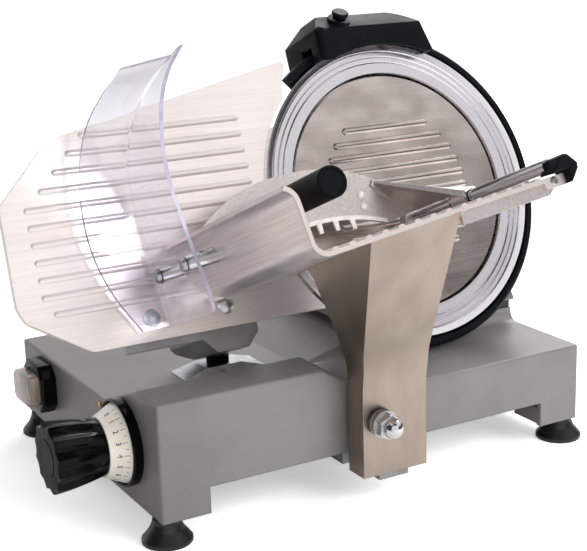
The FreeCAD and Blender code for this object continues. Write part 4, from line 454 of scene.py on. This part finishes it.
def dialNumbers():
    joined = bmesh.new()
    for number in range(dialSizes["numbers"]):
        words = bpy.data.curves.new("digits", "FONT")
        words.body = str(number)
        words.align_x = "CENTER"
        words.size = dialSizes["digitHeight"] / digitShare
        words.offset = dialSizes["digitBold"]
        words.resolution_u = dialSizes["digitSteps"]
        holder = bpy.data.objects.new("digits", words)
        scene.collection.objects.link(holder)
        mesh = plainMesh(holder, "digits")
        angle = math.radians(dialSizes["firstAngle"] + dialSizes["pitch"] * number)
        for vertex in mesh.vertices:
            out = dialSizes["digitFoot"] - vertex.co.y
            vertex.co = onCone(out, angle + vertex.co.x / coneRadius(out), dialSizes["inkLift"])
        joined.from_mesh(mesh)
    mesh = bpy.data.meshes.new("dial_numbers")
    joined.to_mesh(mesh)
    joined.free()
    newPiece("dial_numbers", mesh, made["Printed_Black_Ink"], "dial", "gloss_black")


def tickTree():
    # Thin bars laid round a cone: count, first angle and pitch, and the bar's place and sizes
    tree = bpy.data.node_groups.new("DialTicks", "GeometryNodeTree")
    tree.interface.new_socket("Geometry", in_out="OUTPUT", socket_type="NodeSocketGeometry")
    kinds = {"Count": "NodeSocketInt"}
    names = ["Count", "First", "Pitch", "Out", "Radius", "Length", "Width", "Depth", "Lean"]
    sockets = {name: tree.interface.new_socket(
        name, in_out="INPUT", socket_type=kinds.get(name, "NodeSocketFloat")).identifier for name in names}
    given = addNode(tree, "NodeGroupInput").outputs
    size = addNode(tree, "ShaderNodeCombineXYZ", {
        0: given["Length"], 1: given["Width"], 2: given["Depth"],
    }).outputs[0]
    bar = addNode(tree, "GeometryNodeMeshCube", {"Size": size}).outputs[0]
    lean = addNode(tree, "ShaderNodeCombineXYZ", {1: given["Lean"]}).outputs[0]
    spot = addNode(tree, "ShaderNodeCombineXYZ", {0: given["Out"], 2: given["Radius"]}).outputs[0]
    laid = addNode(tree, "GeometryNodeTransform", {
        "Geometry": bar, "Translation": spot, "Rotation": lean,
    }).outputs[0]
    line = addNode(tree, "GeometryNodeMeshLine", {"Count": given["Count"], "Offset": (0, 0, 0)}).outputs[0]
    index = addNode(tree, "GeometryNodeInputIndex").outputs[0]
    turn = addNode(tree, "ShaderNodeMath", {0: index, 1: given["Pitch"], 2: given["First"]},
                   operation="MULTIPLY_ADD").outputs[0]
    angles = addNode(tree, "ShaderNodeCombineXYZ", {0: turn}).outputs[0]
    copies = addNode(tree, "GeometryNodeInstanceOnPoints", {
        "Points": line, "Instance": laid, "Rotation": angles,
    }).outputs[0]
    real = addNode(tree, "GeometryNodeRealizeInstances", {"Geometry": copies}).outputs[0]
    inked = addNode(tree, "GeometryNodeSetMaterial", {
        "Geometry": real, "Material": made["Printed_Black_Ink"],
    }).outputs[0]
    addNode(tree, "NodeGroupOutput", {0: inked})
    return tree, sockets


def dialTicks(name, tree, sockets, first, count, start, length):
    middle = onCone(start + length / 2, 0, 0) - dialCentre
    holder = bpy.data.objects.new(name, bpy.data.meshes.new(name))
    scene.collection.objects.link(holder)
    ticks = holder.modifiers.new("ticks", "NODES")
    ticks.node_group = tree
    values = {
        "Count": count, "First": math.radians(first), "Pitch": math.radians(dialSizes["pitch"]),
        "Out": middle.x, "Radius": middle.z, "Length": length * mm, "Width": dialSizes["tickWidth"] * mm,
        "Depth": dialSizes["tickDepth"] * mm, "Lean": -coneLean,
    }
    for key, value in values.items():
        ticks[sockets[key]] = value
    mesh = plainMesh(holder, name)
    mesh.transform(Matrix.Translation(dialCentre))
    newPiece(name, mesh, None, "dial", "gloss_black")


knobSizes = {
    "start": 21.4, "length": 40.1, "rearRadius": 22.2, "frontRadius": 27.1, "swell": 1.45, "rows": 14,
    "boreRadius": 12.2, "rearBevel": 0.8, "edge": 1.8, "edgeRows": 4,
    "capRadius": 14.35, "capDepth": 1.6, "capBevel": 0.4, "pinRadius": 2.0,
    "flutes": 12, "fluteDepth": 3.0, "fluteWidth": 0.55, "columns": 18,  # columns of faces in each flute
    "depthStart": 0.25, "depthGrowth": 2.2, "depthLoss": 0.12,          # shares of the depth along the knob
    "frontSlack": 0.1, "frontFacing": 0.9,                               # which faces are its flat front
}


def knobProfile(size):
    # Rows from the base outwards: out in mm, radius in mm and the share of the flutes' depth
    start, rear, bevel = size["start"], size["rearRadius"], size["rearBevel"]
    edge, cap, end = size["edge"], size["capRadius"], start + size["length"]
    profile = [(start, size["boreRadius"], 0), (start, rear - bevel, 0),
               (start + bevel, rear, size["depthStart"])]
    for step in range(1, size["rows"] + 1):
        share = step / size["rows"]
        out = start + bevel + share * (size["length"] - bevel - edge)
        radius = rear + (size["frontRadius"] - rear) * math.sin(share * size["swell"])
        profile.append((out, radius, min(1.0, size["depthStart"] + share * size["depthGrowth"])))
    top = profile[-1][1]
    for step in range(1, size["edgeRows"] + 1):
        share = step / size["edgeRows"]
        turn = share * math.pi / 2
        profile.append((end - edge + edge * math.sin(turn), top - edge + edge * math.cos(turn),
                        1.0 - size["depthLoss"] * share))
    floor = end - size["capDepth"]
    return profile + [(end, cap + size["capBevel"], 0), (end - size["capBevel"], cap, 0), (floor, cap, 0),
                      (floor, size["pinRadius"], 0)]


def flutedKnob(size):
    columns = size["flutes"] * size["columns"]
    profile = knobProfile(size)
    knob = bmesh.new()
    rows = []
    for out, radius, share in profile:
        row = []
        for column in range(columns):
            angle = 2 * math.pi * column / columns
            valley = (0.5 + 0.5 * math.cos(angle * size["flutes"])) ** size["fluteWidth"]
            reach = radius - share * size["fluteDepth"] * valley
            place = Vector((-out, -reach * math.sin(angle), reach * math.cos(angle)))
            row.append(knob.verts.new(dialCentre + place * mm))
        rows.append(row)
    for near, far in zip(rows, rows[1:]):
        for i in range(columns):
            j = (i + 1) % columns
            knob.faces.new((near[i], far[i], far[j], near[j]))
    knob.faces.new(rows[0])
    knob.faces.new(rows[-1])
    bmesh.ops.recalc_face_normals(knob, faces=knob.faces)
    mesh = bpy.data.meshes.new("fluted_knob")
    knob.to_mesh(mesh)
    knob.free()
    mesh.shade_smooth()
    mesh.set_sharp_from_angle(angle=smoothBelow)
    mesh.materials.append(made["Gloss_Black_Phenolic"])
    mesh.materials.append(made["Satin_Black_ABS"])
    frontFrom = dialCentre.x - (profile[-1][0] - size["frontSlack"]) * mm  # the knob's flat front is satin
    for face in mesh.polygons:
        if face.center.x < frontFrom and abs(face.normal.x) > size["frontFacing"]:
            face.material_index = 1
    newPiece("fluted_knob", mesh, None, "dial", slotOf["thickness_knob"], "thickness_knob")


dialNumbers()
ticksTree, ticksSockets = tickTree()
dialTicks("long_ticks", ticksTree, ticksSockets, dialSizes["firstAngle"], dialSizes["numbers"],
          *dialSizes["longTick"])
dialTicks("short_ticks", ticksTree, ticksSockets, dialSizes["firstAngle"] + dialSizes["pitch"] / 2,
          dialSizes["numbers"] - 1, *dialSizes["shortTick"])
flutedKnob(knobSizes)
print("dial made")


# The clear guard: one sheet, with a web beside the tray's wall and a strip bent off it along a crease

trayTurned = Matrix.Rotation(bladeTilt, 3, "X") @ Matrix.Rotation(trayTurn, 3, "Z")
# "plane" is where the flat web stands, and a fold takes at most "foldShare" of a short web or strip
guardSizes = {
    "plane": -237.0, "sheet": 3.0, "fold": 5.0, "foldShare": 0.45, "columns": 96, "webRows": 6, "foldRows": 5,
    "stripRows": 5,
}
# Each line is given in the tray's frame, in mm: (along the blade's face, up it, out towards the operator)
creaseLine = [(-46, 2.4), (0, 2.4), (30, 3), (53, 6), (76, 19), (96, 45), (110, 80), (118, 120), (121.2, 152)]
operatorLine = [(-48, 72), (-47.2, 78), (-43.8, 82.4), (-38, 84), (-5, 82.5), (22, 82), (44, 82.5), (66, 88),
                (83, 98.5), (100, 114), (113.7, 138), (122, 169)]  # these two lie in the web's plane
outerLine = [(-262.5, -43, 2.4), (-276, -8, 3), (-281, 20, 5), (-280, 52, 9), (-271, 86, 15), (-259, 112, 28),
             (-250, 127, 56), (-249, 133.4, 92)]
curveSteps = 16


def trayPoint(place):
    return bladeCentre + trayTurned @ Vector(place) * mm


def smoothLine(points, count):
    # Evenly spaced points on a smooth curve through the given ones
    points = [Vector(point) for point in points]
    gaps = [(b - a).length for a, b in zip(points, points[1:])]
    slopes = [(b - a) / gap for a, b, gap in zip(points, points[1:], gaps)]
    bends = [slopes[0]]
    for i in range(len(gaps) - 1):
        bends.append((slopes[i] * gaps[i + 1] + slopes[i + 1] * gaps[i]) / (gaps[i] + gaps[i + 1]))
    bends.append(slopes[-1])
    dense = []
    for i, gap in enumerate(gaps):
        for step in range(curveSteps):
            t = step / curveSteps
            placed = points[i] * (2 * t ** 3 - 3 * t ** 2 + 1) + points[i + 1] * (3 * t ** 2 - 2 * t ** 3)
            leaning = bends[i] * gap * (t ** 3 - 2 * t ** 2 + t) + bends[i + 1] * gap * (t ** 3 - t ** 2)
            dense.append(placed + leaning)
    dense.append(points[-1])
    reach = [0.0]
    for a, b in zip(dense, dense[1:]):
        reach.append(reach[-1] + (b - a).length)
    spaced, here = [], 0
    for step in range(count + 1):
        aim = reach[-1] * step / count
        while here < len(dense) - 2 and reach[here + 1] < aim:
            here += 1
        share = (aim - reach[here]) / (reach[here + 1] - reach[here])
        spaced.append(dense[here].lerp(dense[here + 1], share))
    return spaced


def guardColumn(size, near, fold, far):
    # From the operator's edge over the rounded fold to the outer edge
    bendNear = fold + (near - fold).normalized() * min(size["fold"], size["foldShare"] * (near - fold).length)
    bendFar = fold + (far - fold).normalized() * min(size["fold"], size["foldShare"] * (far - fold).length)
    line = [near.lerp(bendNear, step / size["webRows"]) for step in range(size["webRows"])]
    for step in range(size["foldRows"]):
        t = step / size["foldRows"]
        line.append(bendNear.lerp(fold, t).lerp(fold.lerp(bendFar, t), t))
    return line + [bendFar.lerp(far, step / size["stripRows"]) for step in range(size["stripRows"] + 1)]


def clearGuard(size):
    operator = smoothLine([(size["plane"], *place) for place in operatorLine], size["columns"])
    crease = smoothLine([(size["plane"], *place) for place in creaseLine], size["columns"])
    outer = smoothLine(outerLine, size["columns"])
    sheetMesh = bmesh.new()
    columns = []
    for near, fold, far in zip(operator, crease, outer):
        line = guardColumn(size, near, fold, far)
        columns.append([sheetMesh.verts.new(trayPoint(place)) for place in line])
    for left, right in zip(columns, columns[1:]):
        for i in range(len(left) - 1):
            sheetMesh.faces.new((left[i], left[i + 1], right[i + 1], right[i]))
    sheetMesh.normal_update()
    sheetMesh.faces.ensure_lookup_table()
    if sheetMesh.faces[0].normal.dot(trayTurned @ Vector((1, 0, 0))) < 0:
        bmesh.ops.reverse_faces(sheetMesh, faces=sheetMesh.faces)
    mesh = bpy.data.meshes.new("clear_guard")
    sheetMesh.to_mesh(mesh)
    sheetMesh.free()
    mesh.materials.append(made["Clear_Polycarbonate"])
    mesh.materials.append(made["Scraped_Polycarbonate_Edge"])
    holder = bpy.data.objects.new("clear_guard", mesh)
    scene.collection.objects.link(holder)
    wall = holder.modifiers.new("wall", "SOLIDIFY")
    wall.thickness = size["sheet"] * mm
    wall.offset = -1.0
    wall.use_even_offset = True
    wall.material_offset_rim = 1
    solid = plainMesh(holder, "clear_guard")
    solid.shade_smooth()
    solid.set_sharp_from_angle(angle=smoothBelow)
    newPiece("clear_guard", solid, None, bodyOf["hand_guard"], slotOf["hand_guard"], "hand_guard")


clearGuard(guardSizes)
print("guard made")


# Moulded and cast pieces whose corners are softer than the CAD's: corner radius in mm

softCorners = {"sharpener_housing": 2.4, "switch_bezel": 2.6, "rod_end_block": 1.2, "switch_cover": 1.0}
# Corners are rounded in a few segments. In degrees: what counts as flat, as a corner, and as smooth
softSizes = {"merge": 0.01, "segments": 4, "flat": 1, "corner": 28, "smooth": 50}


def softPiece(name, corner, material):
    source = bmesh.new()
    source.from_mesh(nodes[name].data)
    bmesh.ops.remove_doubles(source, verts=source.verts, dist=softSizes["merge"] * mm)
    bmesh.ops.dissolve_limit(source, angle_limit=math.radians(softSizes["flat"]), verts=source.verts,
                             edges=source.edges)
    mesh = bpy.data.meshes.new("soft_" + name)
    source.to_mesh(mesh)
    source.free()
    if "custom_normal" in mesh.attributes:
        mesh.attributes.remove(mesh.attributes["custom_normal"])
    holder = bpy.data.objects.new("soft_" + name, mesh)
    scene.collection.objects.link(holder)
    corners = holder.modifiers.new("corners", "BEVEL")
    corners.width = corner * mm
    corners.segments = softSizes["segments"]
    corners.limit_method = "ANGLE"
    corners.angle_limit = math.radians(softSizes["corner"])
    solid = plainMesh(holder, "soft_" + name)
    solid.shade_smooth()
    solid.set_sharp_from_angle(angle=math.radians(softSizes["smooth"]))
    newPiece("soft_" + name, solid, material, bodyOf[name], slotOf[name], name)


for name, corner in softCorners.items():
    softPiece(name, corner, nodes[name].data.materials[0])
print("soft corners made")


# Floor, background, lamps and camera, in metres where no unit is given

stageSizes = {
    "floorReach": 30.0, "floorColour": "#E4E4E4", "floorRoughness": 0.9, "floorSpecular": 0.1,
    "floorGlow": 0.45,  # lifts the floor to white for the camera, and leaves a soft shadow
    "worldLight": 0.65, "worldShown": 1.0,
}
# A lamp that isn't mirrored only fills, and leaves no white patch in metal
lamps = {
    "backSoftbox": {"place": (1.3, 1.0, 1.5), "aim": (0.05, 0.0, 0.1), "size": (1.4, 1.0), "watts": 24,
                    "mirrored": True},
    "frontFill": {"place": (1.0, -2.1, 1.5), "aim": (0.0, 0.0, 0.15), "size": (1.6, 1.2), "watts": 62,
                  "mirrored": False},
    "sideStrip": {"place": (-1.5, -0.9, 1.4), "aim": (-0.05, 0.0, 0.2), "size": (0.12, 1.2), "watts": 3,
                  "mirrored": True},
    "leftFill": {"place": (-1.3, -1.3, 0.8), "aim": (-0.1, 0.0, 0.1), "size": (0.8, 0.8), "watts": 4,
                 "mirrored": False},
}
# Dark cards that reflections see, as are stood round polished metal in a studio
flags = {
    "leftFlag": {"place": (-1.6, 0.0, 0.8), "aim": (0.0, 0.0, 0.3), "size": (3.0, 2.0)},
    "frontFlag": {"place": (2.4, -2.3, 0.75), "aim": (0.0, 0.0, 0.2), "size": (2.2, 1.7)},
    "farRightFlag": {"place": (2.9, -0.5, 0.4), "aim": (0.0, 0.0, 0.2), "size": (2.6, 1.4)},
    "floorFlag": {"place": (1.9, -2.0, 0.02), "aim": (1.9, -2.0, 1.0), "size": (2.2, 1.6)},
    "cameraFlag": {"place": (-0.9, -0.9, 0.02), "aim": (-0.9, -0.9, 1.0), "size": (1.2, 1.0)},
    "roofFlag": {"place": (-0.2, -0.6, 2.2), "aim": (0.0, 0.0, 0.2), "size": (2.4, 2.0)},
    "rightFlag": {"place": (1.9, -1.5, 0.1), "aim": (0.0, 0.0, 0.2), "size": (2.0, 0.9)},
}
shadingFlags = ["leftFlag"]  # these also keep light off a side
cardColour = "#1A1A1B"
white = "#FFFFFF"
# The camera's places and lens are in mm, its roll in degrees, and what it clips in metres
cameraView = {"place": (-527.6, -930.8, 446.7), "aim": (33.1, 67.6, 135.9), "roll": -1.7, "lens": 84.29,
              "sensor": 36.0, "clip": (0.01, 100)}


def shownRays(tree):
    # 1 for rays that show the background itself: the camera's, and those seen in metal and clear plastic
    path = addNode(tree, "ShaderNodeLightPath").outputs
    shown = addNode(tree, "ShaderNodeMath", {0: path["Is Camera Ray"], 1: path["Is Glossy Ray"]},
                    operation="MAXIMUM").outputs[0]
    return addNode(tree, "ShaderNodeMath", {0: shown, 1: path["Is Transmission Ray"]},
                   operation="MAXIMUM").outputs[0]


def flatMaterial(name, colour):
    material = bpy.data.materials.new(name)
    material.use_nodes = True
    inputs = material.node_tree.nodes["Principled BSDF"].inputs
    inputs["Base Color"].default_value = hexLinear(colour)
    return material, material.node_tree, inputs


def flatCard(name, width, height, material):
    mesh = bpy.data.meshes.new(name)
    x, y = width / 2, height / 2
    mesh.from_pydata([(-x, -y, 0), (x, -y, 0), (x, y, 0), (-x, y, 0)], [], [(0, 1, 2, 3)])
    mesh.materials.append(material)
    card = bpy.data.objects.new(name, mesh)
    scene.collection.objects.link(card)
    return card


def aimed(thing, place, aim, forward):
    thing.location = place
    thing.rotation_mode = "QUATERNION"
    thing.rotation_quaternion = (Vector(aim) - Vector(place)).to_track_quat(forward, "Y")


def makeFloor(size):
    material, tree, inputs = flatMaterial("Pale_Paper_Floor", size["floorColour"])
    inputs["Roughness"].default_value = size["floorRoughness"]
    inputs["Specular IOR Level"].default_value = size["floorSpecular"]
    colour = addNode(tree, "ShaderNodeMix", {
        0: shownRays(tree), 6: hexLinear(size["floorColour"]), 7: hexLinear(white),
    }, data_type="RGBA").outputs[2]
    tree.links.new(colour, inputs["Base Color"])
    inputs["Emission Color"].default_value = hexLinear(white)
    seen = addNode(tree, "ShaderNodeLightPath").outputs["Is Camera Ray"]
    glow = addNode(tree, "ShaderNodeMath", {0: seen, 1: size["floorGlow"]}, operation="MULTIPLY").outputs[0]
    tree.links.new(glow, inputs["Emission Strength"])
    floor = flatCard("floor", 2 * size["floorReach"], 2 * size["floorReach"], material)


def makeWorld(size):
    world = bpy.data.worlds.new("Studio")
    scene.world = world
    world.use_nodes = True
    tree = world.node_tree
    strength = addNode(tree, "ShaderNodeMapRange", {
        "Value": shownRays(tree), "To Min": size["worldLight"], "To Max": size["worldShown"],
    }).outputs[0]
    background = tree.nodes["Background"]
    background.inputs["Color"].default_value = hexLinear(white)
    tree.links.new(strength, background.inputs["Strength"])


def addLamps():
    for name, given in lamps.items():
        light = bpy.data.lights.new(name, "AREA")
        light.shape = "RECTANGLE"
        light.size, light.size_y = given["size"]
        light.energy = given["watts"]
        lamp = bpy.data.objects.new(name, light)
        aimed(lamp, given["place"], given["aim"], "-Z")
        lamp.visible_glossy = given["mirrored"]
        scene.collection.objects.link(lamp)


def addFlags():
    material = flatMaterial("Black_Card", cardColour)[0]
    for name, given in flags.items():
        flag = flatCard(name, *given["size"], material)
        aimed(flag, given["place"], given["aim"], "Z")
        flag.visible_camera = flag.visible_transmission = False
        flag.visible_diffuse = flag.visible_shadow = name in shadingFlags


def makeCamera(view):
    data = bpy.data.cameras.new("Camera")
    data.sensor_width = view["sensor"]
    data.lens = view["lens"]
    data.clip_start, data.clip_end = view["clip"]
    camera = bpy.data.objects.new("Camera", data)
    aimed(camera, Vector(view["place"]) * mm, Vector(view["aim"]) * mm, "-Z")
    roll = Quaternion((0, 0, 1), math.radians(view["roll"]))
    camera.rotation_quaternion = camera.rotation_quaternion @ roll
    scene.collection.objects.link(camera)
    scene.camera = camera


makeFloor(stageSizes)
makeWorld(stageSizes)
addLamps()
addFlags()
makeCamera(cameraView)
scene.view_settings.view_transform = "Standard"
print("stage made")
